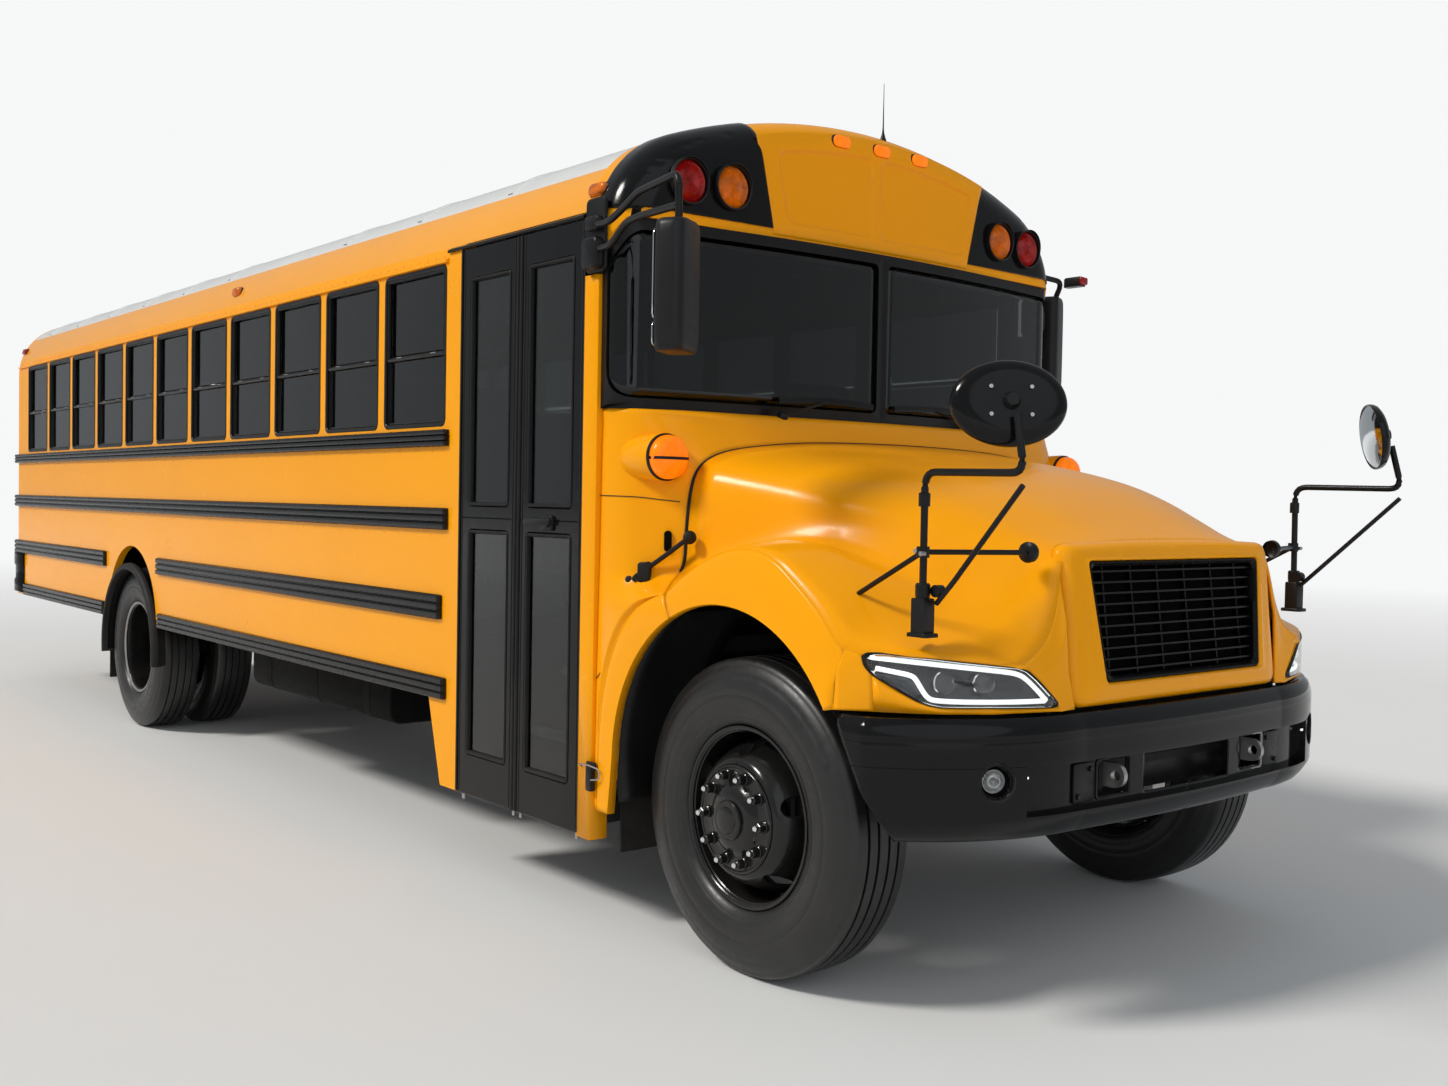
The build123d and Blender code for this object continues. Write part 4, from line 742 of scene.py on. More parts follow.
# a dished band with round-ended hand holes: between each hole's edge and its sector's border the points go
# straight in the band's own angle and radius, which the curve then lifts to its height
def holedBand(curve, holeCentre, holeHalf, holes, x, y, steps=9, around=64):
    low, high = curve[:, 1].min(), curve[:, 1].max()
    t = circle(around)
    hole = np.stack([holeHalf[0] * np.cos(t), holeCentre + holeHalf[1] * np.sin(t)], 1)
    stretch = 1 / np.maximum(np.abs(np.cos(t)), np.abs(np.sin(t)))
    border = np.stack([np.cos(t) * stretch * math.pi / holes,
                       (low + high) / 2 + np.sin(t) * stretch * (high - low) / 2], 1)
    share = np.linspace(0, 1, steps)[:, None, None] ** 1.3
    angle, radius = np.moveaxis(hole[None] * (1 - share) + border[None] * share, -1, 0)
    order = np.argsort(curve[:, 1])
    lift = np.interp(radius, curve[order, 1], curve[order, 0])
    grid = spread(x + radius * np.sin(angle), -(y + lift), axleHeight + radius * np.cos(angle))
    return aroundAxle(gridShape(grid, closeV=True), holes, x)


# one wheel nut on the bolt circle's top, flange and six-sided body, and its stud's end
def nutShape(x, y, base, tall):
    place = (x, -(y + base), axleHeight + boltCircle)
    middle, flat, stud, top = .00001, .0165, .0095, tall + .014
    profiles = [(18, (0, middle), (0, .021), (.005, .02), (.007, .0175), (.007, middle)),
        (6, (.006, middle), (.006, flat), (tall - .002, flat), (tall, flat - .003), (tall, middle)),
        (14, (tall - .002, middle), (tall - .002, stud), (top - .003, stud), (top, .007), (top, middle))]
    flange, body, end = (lathe(profile, sides, place, outboard) for sides, *profile in profiles)
    return joinShapes([flange, body]), end


# the same for both rear wheels of a side
def twins(profile, sides=96):
    return joinShapes([wheelShape(profile, rearAxle, y, sides)
                       for y in (rearOuterY, rearOuterY - dualSpacing)])


frontNut, frontStud = nutShape(0, frontY, .151, .03)
rearNut, rearStud = nutShape(rearAxle, dualMiddle, .011, .034)
frontDisc = [holedBand(frontDome, .228, (.125, .024), 5, 0, frontY),
             wheelShape(frontHub, 0, frontY, closed=False)]
rearDisc = [holedBand(rearDish, .232, (.12, .021), 5, rearAxle, dualMiddle),
            wheelShape(rearHub, rearAxle, dualMiddle, closed=False)]
disc = dict(merge=True, thick=.01, sharp=30)
wheelPieces = [   # name, shape, finish, body, node that it replaces, look
    ("front_tyre", wheelShape(tyreProfile, 0, frontY, 128), "tyreRubber", "front_wheel", "tyre_front",
     dict(sharp=28)),
    ("rear_tyres", twins(tyreProfile, 112), "tyreRubber", "rear_wheels", "tyres_rear", dict(sharp=28)),
    ("front_rim", wheelShape(rimProfile, 0, frontY), "wheelBlack", "front_wheel", "wheel_front",
     dict(sharp=40)),
    ("front_disc", joinShapes(frontDisc), "wheelBlack", "front_wheel", "", disc),
    ("rear_rims", twins(rimProfile), "wheelBlack", "rear_wheels", "wheels_rear", dict(sharp=40)),
    ("rear_disc", joinShapes(rearDisc), "wheelBlack", "rear_wheels", "", disc),
    ("front_wheel_nuts", aroundAxle(frontNut, wheelNuts, 0, nutStart), "wheelBlack", "front_wheel", "",
     dict(sharp=30)),
    ("front_wheel_studs", aroundAxle(frontStud, wheelNuts, 0, nutStart), "chrome", "front_wheel", "",
     dict(sharp=30)),
    ("rear_wheels_nuts", aroundAxle(rearNut, wheelNuts, rearAxle, nutStart), "wheelBlack", "rear_wheels", "",
     dict(sharp=30)),
    ("rear_wheels_studs", aroundAxle(rearStud, wheelNuts, rearAxle, nutStart), "chrome", "rear_wheels", "",
     dict(sharp=30)),
    ("rear_rim_edge", wheelShape(rimEdge, rearAxle, rearOuterY), "wornRim", "rear_wheels", "", {}),
]
for side, outward in (("right", -1), ("left", 1)):
    for name, shape, finish, body, node, look in wheelPieces:
        addPiece(f"{name}_{side}", shape if outward < 0 else mirrored(shape), finish, f"{body}_{side}",
            replaces=node and f"{node}_{side}", outward=(0, outward, 0) if look is disc else None, **look)
print("wheels made")

capFront, capBow, bodyHalf = -.54, .04, 1.219
shoulder = {"centreY": .789, "centreZ": 2.4735, "radius": .43, "crown": 2.7, "top": 3.045, "join": .939}


# the cap's front face is an arc bowed forward in plan
def capX(y):
    return capFront - capBow * (np.asarray(y) / bodyHalf) ** 2


# height of the body's outline at a half-width: the crown's arc, then the shoulder's
def roofHeight(y):
    y = np.abs(np.asarray(y, float))
    crown = shoulder["top"] - shoulder["crown"] + np.sqrt(shoulder["crown"] ** 2 - y ** 2)
    reach = np.maximum(shoulder["radius"] ** 2 - (y - shoulder["centreY"]) ** 2, 0)
    return np.where(y < shoulder["join"], crown, shoulder["centreZ"] + np.sqrt(reach))


# the black panels round the warning lamps, each drawn from the cap's outline to the corner by the windshield
panel = {"rear": -.748, "innerTop": .64, "innerLow": .552, "low": 2.574, "rows": 48, "columns": 40,
         "lift": .0022, "turnShare": .35}
turnHalf = np.concatenate([np.linspace(panel["innerTop"], 1.1, 24),
                           1.1 + .108 * np.sin(np.linspace(0, 1, 14)[1:] * 1.5708)])
outline = np.stack([turnHalf, roofHeight(turnHalf)], 1)
outline = np.concatenate([outline, [(1.219, 2.46)]])
outline = np.concatenate([outline[outline[:, 1] > panel["low"]], [(1.2145, panel["low"])]])
outline = resampled(outline, panel["rows"])
share = np.linspace(0, 1, panel["columns"])
alongSide = np.clip(share / panel["turnShare"], 0, 1)
alongFace = np.clip((share - panel["turnShare"]) / (1 - panel["turnShare"]), 0, 1)[None, :, None]
flat = outline[:, None] * (1 - alongFace) + np.array((panel["innerLow"], panel["low"])) * alongFace
depth = panel["rear"] + (capX(outline[:, 0])[:, None] - panel["rear"]) * alongSide[None]
grid = np.concatenate([depth[..., None], flat], -1)
grid[:, 14:, 0] = capX(grid[:, 14:, 1])
panelPiece = addPiece("lamp_panels", gridShape(grid), "glossBlack", both=True, sharp=60, loose=True)
wrap = panelPiece.modifiers.new("onCap", "SHRINKWRAP")
wrap.target, wrap.offset = nodes["front_cap"], panel["lift"]
wrap.wrap_method, wrap.wrap_mode = "NEAREST_SURFACEPOINT", "ABOVE_SURFACE"
sheet = panelPiece.modifiers.new("thickness", "SOLIDIFY")
sheet.thickness, sheet.offset = .004, -1
print("lamp panels made")

# the cowl: a strip from the post and the windshield's foot to the hood, one row for each line up and inward
cowlData = [
    [(-.722, 1.201, 1.3), (-.64, 1.194, 1.3), (-.55, 1.157, 1.302), (-.47, 1.102, 1.308),
     (-.404, 1.056, 1.315)],
    [(-.722, 1.2, 1.45), (-.64, 1.192, 1.45), (-.55, 1.15, 1.45), (-.47, 1.092, 1.45), (-.401, 1.04, 1.45)],
    [(-.722, 1.199, 1.6), (-.64, 1.19, 1.6), (-.55, 1.145, 1.6), (-.47, 1.085, 1.59), (-.396, 1.028, 1.58)],
    [(-.722, 1.198, 1.74), (-.64, 1.187, 1.735), (-.55, 1.14, 1.715), (-.465, 1.07, 1.685),
     (-.394, .995, 1.655)],
    [(-.722, 1.197, 1.825), (-.645, 1.184, 1.822), (-.55, 1.13, 1.8), (-.46, 1.03, 1.755),
     (-.393, .94, 1.692)],
    [(-.7, 1.194, 1.868), (-.62, 1.17, 1.862), (-.53, 1.09, 1.84), (-.452, .96, 1.79), (-.393, .86, 1.72)],
    [(-.63, 1.145, 1.869), (-.56, 1.095, 1.865), (-.49, 1.0, 1.847), (-.44, .86, 1.8), (-.392, .75, 1.74)],
    [(-.578, .98, 1.869), (-.52, .93, 1.866), (-.465, .84, 1.848), (-.43, .72, 1.81), (-.391, .62, 1.756)],
    [(-.538, .55, 1.869), (-.49, .53, 1.866), (-.45, .48, 1.85), (-.42, .42, 1.815), (-.39, .36, 1.77)],
    [(-.514, 0, 1.869), (-.47, 0, 1.866), (-.435, 0, 1.853), (-.412, 0, 1.82), (-.39, 0, 1.776)],
]
cowlSide = {"rows": 40, "bottom": .43, "postX": -.722, "sheet": .006, "bandSamples": 48}
cowlNet = splineNet(cowlData)
cowlSkin = surfaceAt(cowlNet, np.linspace(0, 1, 72), np.linspace(0, 1, 30))
seamEdge = surfaceAt(hoodNet, [0.0], np.linspace(columnParameters[7], 1, 12))[0] - (.006, 0, .004)
bandOuter = [(-.41, 1.206, 1.214), (-.5, 1.209, 1.165), (-.59, 1.211, 1.06), (-.648, 1.211, .93),
             (-.682, 1.211, .78), (-.696, 1.21, .64), (-.7, 1.209, cowlSide["bottom"])]
bandCurve = splineCurve(np.concatenate([seamEdge[-1:], bandOuter]), 40)
panelEnd = resampled(np.concatenate([seamEdge[:-1], bandCurve]), cowlSide["rows"])
panelTop = cowlSkin[0].copy()
panelTop[-1] = panelEnd[0]
panelFoot = resampled([(cowlSide["postX"], 1.205, cowlSide["bottom"]), panelEnd[-1]], len(panelTop))
sidePanel = coons(panelTop, panelFoot, resampled([panelTop[0], panelFoot[0]], cowlSide["rows"]), panelEnd)
turn = np.radians(np.linspace(116.9, 178, 40))
rearLip = spread(hood["archCentre"][0] + hood["archRadius"] * np.cos(turn), hood["archSide"],
                 hood["archCentre"][1] + hood["archRadius"] * np.sin(turn))
rearLip = resampled([*rearLip, (-.606, 1.216, .56), (-.621, 1.216, cowlSide["bottom"])],
    cowlSide["bandSamples"])
bandEdge = resampled(bandCurve, cowlSide["bandSamples"])
rearBand = bandEdge[:, None] * (1 - across)[None, :, None] + rearLip[:, None] * across[None, :, None]
rearBand[:, :, 1] = np.minimum(rearBand[:, :, 1] + swell[None], 1.2175)
lipBack = [(rearLip - (.003, inward, .002))[:, None] for inward in (.006, .034)]
postSheet = np.array([(-.8035, 1.15, 0), (-.8035, 1.2185, 0), (-.728, 1.2185, 0), (-.723, 1.216, 0),
                      (-.722, 1.199, 0), (-.722, 1.15, 0)])
postGrid = postSheet[None] + spread(0, 0, np.array([.317, 1.0, 1.9, 2.3, 2.345]))[:, None]
cowlSheets = [gridShape(cowlSkin)] + [gridShape(sheet, flip=True) for sheet in (
    sidePanel, np.concatenate([rearBand, *lipBack], 1), postGrid)]
addPiece("cowl_skin", cowlSheets, "bodyYellow", replaces="cowl", both=True, merge=True, sharp=50,
         thick=cowlSide["sheet"])
wallOutline = [(1.02, 1.66), (.88, 1.74), (.35, 1.8), (-.35, 1.8), (-.88, 1.74), (-1.02, 1.66), (-1.06, 1.3),
               (-1.15, .9), (-1.15, .46), (1.15, .46), (1.15, .9), (1.06, 1.3)]
addPiece("firewall", plate(wallOutline[::-1], (-.715, 0, 0), "front", .02), "satinBlack",
    slot="chassis_black")
addPiece("rear_liners", archLiner(hood["archCentre"], .6, .8, 1.184, 117, 196, 40), "satinBlack",
         slot="chassis_black", both=True, thick=.004)


# a dark seam: a narrow band along a line, across the way the sheet faces, that lies 1.2 mm proud of the sheet
def seamStrip(line, width, outward, proud=.0012):
    line = np.asarray(line, float)
    face = unit(np.broadcast_to(np.asarray(outward, float), line.shape))
    side = unit(np.cross(unit(np.gradient(line, axis=0)), face))
    return gridShape(np.stack([line - side * width / 2 + face * proud,
        line + side * width / 2 + face * proud], 1))


# points of a spline surface along a straight line of its parameters, with the outward direction there
def surfaceLine(net, start, end, count=30, step=.01):
    pairs = list(zip(np.linspace(start[0], end[0], count), np.linspace(start[1], end[1], count)))
    spot = np.array([surfaceAt(net, [a], [b])[0, 0] for a, b in pairs])
    alongU = np.array([np.subtract(*surfaceAt(net, [min(a + step, 1), max(a - step, 0)], [b])[:, 0])
                       for a, b in pairs])
    alongV = np.array([np.subtract(*surfaceAt(net, [a], [min(b + step, 1), max(b - step, 0)])[0])
                       for a, b in pairs])
    face = unit(np.cross(alongU, alongV))
    return spot, face * np.sign(face[:, 1:2] + face[:, :1] + face[:, 2:] + 1e-9)


spot, face = surfaceLine(cowlNet, (.108, 0.0), (.1, .93))
seams = [seamStrip(spot, .003, face), seamStrip(spread(-.722, 1.2035, np.linspace(.44, 1.83, 30)), .003,
    (0, 1, 0)), seamStrip(sidePanel[18, :7], .003, (0, 1, 0))]
addPiece("cowl_seams", seams, "blackRubber", both=True, thick=.0012)
hoodRear = surfaceAt(hoodNet, [0.0], np.linspace(0, columnParameters[7] + .03, 60))[0]
sealPath = np.concatenate([(hoodRear * (1, -1, 1))[::-1], hoodRear[1:]]) + (-.004, 0, -.004)
addPiece("hood_seal", carried(ringProfile(.007, 8), sealPath, up=(1, 0, 0)), "blackRubber", loose=True)
print("cowl made")

warningLamp = {"radius": .077, "proud": .02, "visorRadius": .0845, "visorProud": .03, "visorThick": .003,
               "rimShare": .55, "rearWall": -9.1315}


# a shallow lens: a flattened dome with fine rings pressed into its face
def ringLens(radius, height, count=16, ripple=.0012):
    share = np.linspace(1, 0, count * 3)
    rise = height * (1 - share ** 4) + ripple * np.cos(share * count * math.pi * 2) * (share < .9)
    return np.stack([rise, radius * share + 1e-5], 1)


# a shape drawn facing +X, turned to face forward and moved to its place
def facing(shape, place, forward):
    forward = unit(np.asarray(forward, float))
    side = unit(np.cross((0.0, 0.0, 1.0), forward))
    return shape[0] @ np.stack([forward, side, np.cross(forward, side)]) + np.asarray(place, float), shape[1]


# a profile turned round the X axis, then faced and moved
def facedLathe(profile, place, forward=(1, 0, 0), sides=64, closed=False):
    return facing(lathe(profile, sides, axis=(1, 0, 0), closed=closed), place, forward)


# one round lamp: its lens, its rim, and a short visor over the upper half
def warningParts(place, forward):
    reach, outer, inner = warningLamp["visorProud"], warningLamp["visorRadius"], warningLamp["radius"]
    low = warningLamp["rimShare"]
    angle = np.linspace(math.radians(-10), math.radians(190), 40)
    reachHere = reach * (low + (1 - low) * np.sin(np.clip(angle, 0, math.pi)))
    thick = warningLamp["visorThick"]
    shell = [spread(reachHere if tip else 0, radius * np.cos(angle), radius * np.sin(angle))
             for radius, tip in ((outer, 0), (outer, 1), (outer - thick, 1), (outer - thick, 0))]
    rim = [(0, inner), (reach * low, inner), (reach * (low + .05), inner + .002), (reach * low, outer - .002),
           (0, outer)]
    return (facedLathe(ringLens(inner, warningLamp["proud"]), place, forward),
        facedLathe(rim, place, forward, closed=True), facing(gridShape(np.stack(shell, 1), closeV=True),
        place, forward))


lenses, rims = {"redLens": [], "amberLens": [], "litAmber": []}, []
for end in (1, -1):
    for y, z, back, colour in ((.951, 2.687, -.5545, "redLens"), (.755, 2.694, -.5465, "amberLens")):
        for side in (1, -1):
            place = (back if end == 1 else warningLamp["rearWall"], side * y, z)
            lens, rim, visor = warningParts(place, (end, 0, 0))
            lenses[colour].append(lens)
            rims += [rim, visor]
tailRim = [(0, .083), (.014, .083), (.017, .087), (.013, .091), (0, .092)]
for z in (1.33, 1.56):
    for side in (1, -1):
        lenses["redLens"].append(facedLathe(ringLens(.083, .016), (-9.133, side, z), (-1, 0, 0)))
        rims.append(facedLathe(tailRim, (-9.131, side, z), (-1, 0, 0), closed=True))
markerOutline = roundedOutline(.088, .044, .02, 6)
for y in (-.222, 0, .222):
    for reach, group, grow in ((.014, rims, 1.14), (.024, lenses["litAmber"], 1.0)):
        group.append(plate(markerOutline * grow, (capX(y) - .01, y, 2.951), "front", .01 + reach, .006))
# side marker lamps, standing on the shoulder of the roof
sideOutline = roundedOutline(.1, .046, .018, 6)
for x, colour in ((-9.018, "redLens"), (-4.322, "amberLens"), (-.784, "amberLens")):
    for side in (1, -1):
        plane = ((-side, 0, 0), (0, -side * .25, 1))
        lenses[colour].append(plate(sideOutline, (x, side * 1.172, 2.655), plane, .028, .012))
        rims.append(plate(sideOutline * 1.12, (x, side * 1.17, 2.655), plane, .013, .003))
# the turn lamps on the cowl's corners, each with a bar across its lens and a pod behind it
turnPlace = (-.446, 1.117, 1.694)
turnProfile = np.array([(0, .0765), (.024, .0765), (.034, .074), (.046, .066), (.054, .05), (.058, .028),
                        (.059, .00001)])
turnRim = [(-.004, .0765), (.01, .0765), (.012, .08), (.008, .083), (-.004, .083)]
podProfile = [(-.2, .06), (-.15, .078), (-.05, .0835), (-.005, .0845), (0, .083), (0, .07)]
for side in (1, -1):
    spot = np.array(turnPlace) * (1, side, 1)
    barLine = np.linspace(-1, 1, 20) * .0775
    barX = spot[0] + np.interp(np.abs(barLine), turnProfile[::-1, 1], turnProfile[::-1, 0])
    lenses["litAmber"].append(facedLathe(turnProfile, spot))
    rims += [carried([(-.005, -.002), (.005, -.002), (.005, .003), (-.005, .003)],
                     spread(barX, spot[1] + barLine, spot[2] - .004), up=(1, 0, 0)),
             facedLathe(turnRim, spot, closed=True)]
lensPieces = (("redLens", "red_lenses", "lamps_red"), ("amberLens", "amber_lenses", "lamps_amber"),
              ("litAmber", "lit_amber_lenses", ""))
for colour, name, node in lensPieces:
    addPiece(name, lenses[colour], colour, sharp=40, replaces=node)
addPiece("lamp_rims", rims, "blackPlastic")
addPiece("turn_lamp_pods", facedLathe(podProfile, turnPlace), "bodyYellow", both=True, sharp=45)
print("lamps made")

# cross-view mirrors on the fenders: oval heads, each on a bent post with two braces
crossView = {"half": (.16, .12), "centre": np.array((1.014, 1.06, 1.829)), "across": (.62, -.78, 0.0),
             "facing": (-.77, -.61, -.16)}
posts = [   # points, radius, bend, sides
    ([(.695, 1.043, 1.26), (.692, 1.04, 1.639), (1.076, 1.078, 1.634), (1.04, 1.068, 1.79)], .011, .045, 14),
    ([(.729, 1.022, 1.262), (.8, 1.03, 1.33), (1.072, 1.077, 1.6)], .008, .03, 12),
    ([(.689, 1.04, 1.409), (.8, .715, 1.409)], .008, .03, 12),
    ([(.689, 1.04, 1.409), (.43, 1.04, 1.272), (.398, 1.012, 1.262)], .008, .02, 12)]
feet = [   # turned feet and joints: profile, sides, place, axis
    ([(0, .02), (.02, .022), (.045, .022), (.05, .018), (.05, .0001)], 24, (.695, 1.043, 1.27), (0, 0, 1)),
    ([(-.014, .0001), (-.014, .018), (.014, .018), (.014, .0001)], 20, (.729, 1.016, 1.298), (0, 1, 0)),
    ([(-.016, .0001), (-.016, .019), (.016, .019), (.016, .0001)], 20, (.69, 1.04, 1.409), (0, 0, 1)),
    ([(-.02, .0001), (-.02, .017), (.018, .017), (.022, .01), (.022, .0001)], 20, (.691, 1.04, 1.56),
     (0, 0, 1)),
    ([(-.018, .03), (-.002, .032), (.004, .03), (.01, .018), (.01, .0001)], 28, (.795, .7, 1.409), (0, 1, 0)),
    ([(-.012, .024), (.002, .026), (.006, .022), (.006, .0001)], 24, (.395, 1.008, 1.262), (0, -.4, 1))]
headX, headZ = unit(np.array(crossView["across"])), unit(np.array(crossView["facing"]))
headY = np.cross(headZ, headX)


# ovals of growing share of the full size, each at its own depth along the head's axis
def ovalShell(profile):
    turn = circle(72)
    return gridShape(np.stack([
        crossView["centre"] + np.outer(np.cos(turn) * crossView["half"][0] * share, headX)
        + np.outer(np.sin(turn) * crossView["half"][1] * share, headY) + headZ * depth
        for depth, share in profile]), closeV=True)


headBack = [(0.0, .0001), (.001, .35), (.004, .62), (.011, .83), (.02, .945), (.028, .985), (.036, 1.0),
            (.043, 1.0), (.046, .985), (.045, .955), (.04, .95)]
headFace = [(.041, .955), (.052, .8), (.06, .55), (.065, .25), (.066, .0001)]
clampRing = [(-.011, .0115), (-.011, .0145), (.011, .0145), (.011, .0115)]
postParts = [tube(*post) for post in posts]
postParts += [block((.05, .11, .006, 4), (.697, 1.066, 1.222), "right", .046, .003),
              block((.076, .06, .008, 4), (.697, 1.043, 1.165), "up", .012, .003)]
postParts += [lathe(*part) for part in feet]
postParts.append(lathe([(-.02, .0001), (-.02, .017), (.004, .026), (.004, .0001)], 24,
                       crossView["centre"] - headZ * .002, headZ))
bolts = [pin(-.005, .012, .006, 6, crossView["centre"] + headX * (x * .055) + headY * (y * .038)
    + headZ * .001, headZ) for x in (-1, 1) for y in (-1, 1)]
bolts += [lathe(clampRing, 20, place, (0, 0, 1), closed=True) for place in (
    (.6935, 1.0415, 1.405), (.6925, 1.0405, 1.56))]
bolts += [pin(-.009, .009, .007, 10, place, (0, 1, 0), .0002)
    for place in ((.706, 1.06, 1.405), (.676, 1.05, 1.412))]
addPiece("cross_view_posts", postParts, "satinBlack", "hood", replaces="cross_view_mirrors", both=True)
addPiece("cross_view_heads", ovalShell(headBack), "glossBlack", "hood", both=True, sharp=30)
addPiece("cross_view_faces", ovalShell(headFace), "mirrorFace", "hood", both=True, sharp=30)
addPiece("cross_view_bolts", bolts, "brightSteel", "hood", both=True, sharp=30)
print("cross-view mirrors made")

# rear-view mirrors: arms as lines of points, and each housing's place, height and long direction
mirrors = {
    -1: {"arms": [[(-.72, 1.238, 2.517), (-.606, 1.262, 2.504), (-.47, 1.29, 2.533), (-.356, 1.318, 2.56),
                   (-.06, 1.384, 2.56), (-.04, 1.388, 2.535), (-.04, 1.386, 2.4)],
                  [(-.72, 1.238, 2.428), (-.575, 1.27, 2.421), (-.445, 1.299, 2.478), (-.33, 1.325, 2.478),
                   (-.048, 1.384, 2.462)]],
         "place": (-.055, 1.377, 2.005), "height": .41, "along": (.49, .87, 0)},
    1: {"arms": [[(-.7, 1.235, 2.62), (-.69, 1.4, 2.61), (-.74, 1.402, 2.52), (-.755, 1.402, 2.4)],
                 [(-.7, 1.235, 2.4), (-.755, 1.402, 2.4), (-.755, 1.402, 2.2)]],
        "place": (-.755, 1.3995, 2.1), "height": .44, "along": (-.447, .894, 0)},
}
brackets = [((.118, .265, .02, 4), (-.728, 1.2195, 2.482), "left", .012, .003),
            ((.1, .115, .022, 5), (-.727, 1.229, 2.415), "left", .034, .01),
            ((.085, .05, .012, 4), (-.724, 1.229, 2.52), "left", .026, .006)]


# a mirror housing: rounded sections carried upward, fuller in the middle, closed by domed ends
def housing(place, height, long, cross, width=.185, deep=.1):
    levels = [0, .012, .03, .06, .12, .3, .5, .7, .88, .94, .97, .988, 1.0]
    sizes = [.72, .84, .92, .965, .99, 1.0, 1.0, 1.0, .985, .955, .91, .83, .7]
    outline = roundedOutline(width, deep, .036, 7)
    return capped([np.asarray(place) + np.outer(outline[:, 0] * grow, long)
                   + np.outer(outline[:, 1] * (.6 + .4 * grow), cross) + (0, 0, height * level)
                   for level, grow in zip(levels, sizes)])


armShapes, housings, glasses = [], [], []
for side, mirror in mirrors.items():
    place, height, long = mirror["place"], mirror["height"], unit(np.array(mirror["along"]))
    cross = np.array((-long[1], long[0], 0))
    rearward = cross if cross[0] < 0 else -cross
    plane = (np.cross((0, 0, 1), rearward), (0, 0, 1))
    made = [tube(points, .0125, .045, 14) for points in mirror["arms"]]
    made += [block(*bracket) for bracket in brackets]
    behind = np.asarray(place) + rearward * .0485
    faces = [block((.15, tall, radius, 5), behind + (0, 0, up), plane, .004, .001)
             for tall, radius, up in ((height - .13, .02, height / 2 + .035), (.075, .018, .055))]
    shell = [housing(place, height, long, cross)]
    for group, shapes in ((armShapes, made), (housings, shell), (glasses, faces)):
        group += [mirrored(shape) if side == -1 else shape for shape in shapes]
armShapes.append(block((.1, .046, .012, 4), (-.65, 1.44, 2.586), "up", .045, .008))
addPiece("arm_lamp", block((.054, .034, .008, 4), (-.6005, 1.438, 2.609), "front", .008, .003), "redLens")
addPiece("mirror_arms", armShapes, "satinBlack", replaces="rear_view_mirrors")
addPiece("mirror_housings", housings, "blackPlastic", sharp=50)
addPiece("mirror_glasses", glasses, "mirrorFace")
print("rear-view mirrors made")

# headlamps: everything lies on an upright drum round the fender's corner, at (degrees, height)
headlamp = {"centre": (.2502, .5892), "radius": .6369, "ledDepth": .014, "ledSize": (.0075, .006),
            "bulbDepth": .034, "bulbAim": (.93, .37, 0), "bulbs": ((39.0, 1.0304), (27.9, 1.0281))}
lampOutline = [(61.0, 1.1), (60.0, 1.112), (56.3, 1.114), (43.3, 1.1035), (21.7, 1.0794), (18.7, 1.0758),
               (16.2, 1.0662), (12.9, 1.0385), (5.8, .9693), (5.7, .9575), (7.5, .954), (27.2, .96),
               (40.5, .9608), (43.6, .9669), (46.7, .979), (58.3, 1.0484), (60.4, 1.0734)]
innerOutline = [(57.5, 1.052), (50.5, 1.046), (47.0, 1.03), (44.8, .992), (46.7, .986)]
ledLines = [[(59.0, 1.0985), (51.0, 1.0935), (38.1, 1.0814), (21.7, 1.0637), (18.1, 1.0551), (15.5, 1.0396),
             (8.9, .9745)],
            [(9.4, .9735), (21.5, .9755), (41.0, .9767), (43.3, .9831), (44.7, 1.0), (46.8, 1.0398),
             (47.8, 1.0509), (50.9, 1.0565), (57.6, 1.0673)]]


def drumPoint(place, depth=0.0):
    place = np.asarray(place, float)
    angle, reach = np.radians(place[..., 0]), headlamp["radius"] - depth
    middleX, middleY = headlamp["centre"]
    return spread(middleX + reach * np.cos(angle), middleY + reach * np.sin(angle), place[..., 1])


# a closed line of drum points again at equal steps, its length measured in metres
def denseLoop(points, count):
    return resampled([*points, points[0]], count, (headlamp["radius"] * math.pi / 180, 1), endpoint=False)


# copies of a loop drawn in towards its middle, each at its own depth
def lampRings(loop, middle, steps):
    return gridShape(np.stack([drumPoint(middle + (loop - middle) * share, depth) for share, depth in steps]),
                     closeV=True)


lampLoop, innerLoop = denseLoop(lampOutline, 120), denseLoop(innerOutline, 60)
lampMiddle = np.array((33.0, 1.03))
seal = [(1.012, .012), (1.012, .0), (1.004, -.0025), (.985, -.003), (.968, .001), (.962, .012)]
bowl = [(.965, .004), (.95, .03), (.9, .048), (.7, .052), (.4, .054), (.2, .055), (.001, .055)]
cover = [(.972, -.0005), (.9, -.001), (.7, -.0015), (.4, -.002), (.2, -.002), (.001, -.002)]
ledProfile = ringProfile(1.0, 10) * headlamp["ledSize"]
ledShapes = []
for line in ledLines:
    dense = splineCurve(line, 70)
    path = drumPoint(dense, headlamp["ledDepth"])
    outward = unit(spread(np.cos(np.radians(dense[:, 0])), np.sin(np.radians(dense[:, 0])), 0))
    upright = unit(np.cross(outward, unit(np.gradient(path, axis=0))))
    ledShapes.append(capped(path[:, None] + ledProfile[None, :, :1] * upright[:, None]
                            + ledProfile[None, :, 1:] * outward[:, None]))
bulbs = [drumPoint(place, headlamp["bulbDepth"]) for place in headlamp["bulbs"]]
bezel = [(-.012, .031), (.004, .031), (.008, .034), (.004, .037), (-.012, .037)]
addPiece("headlamp_seals", lampRings(lampLoop, lampMiddle, seal), "satinBlack", "hood", "black_rubber",
    both=True, sharp=50)
addPiece("headlamp_bowls", lampRings(lampLoop, lampMiddle, bowl), "lampBowl", "hood", replaces="headlamps",
    both=True, thick=.003, merge=True)
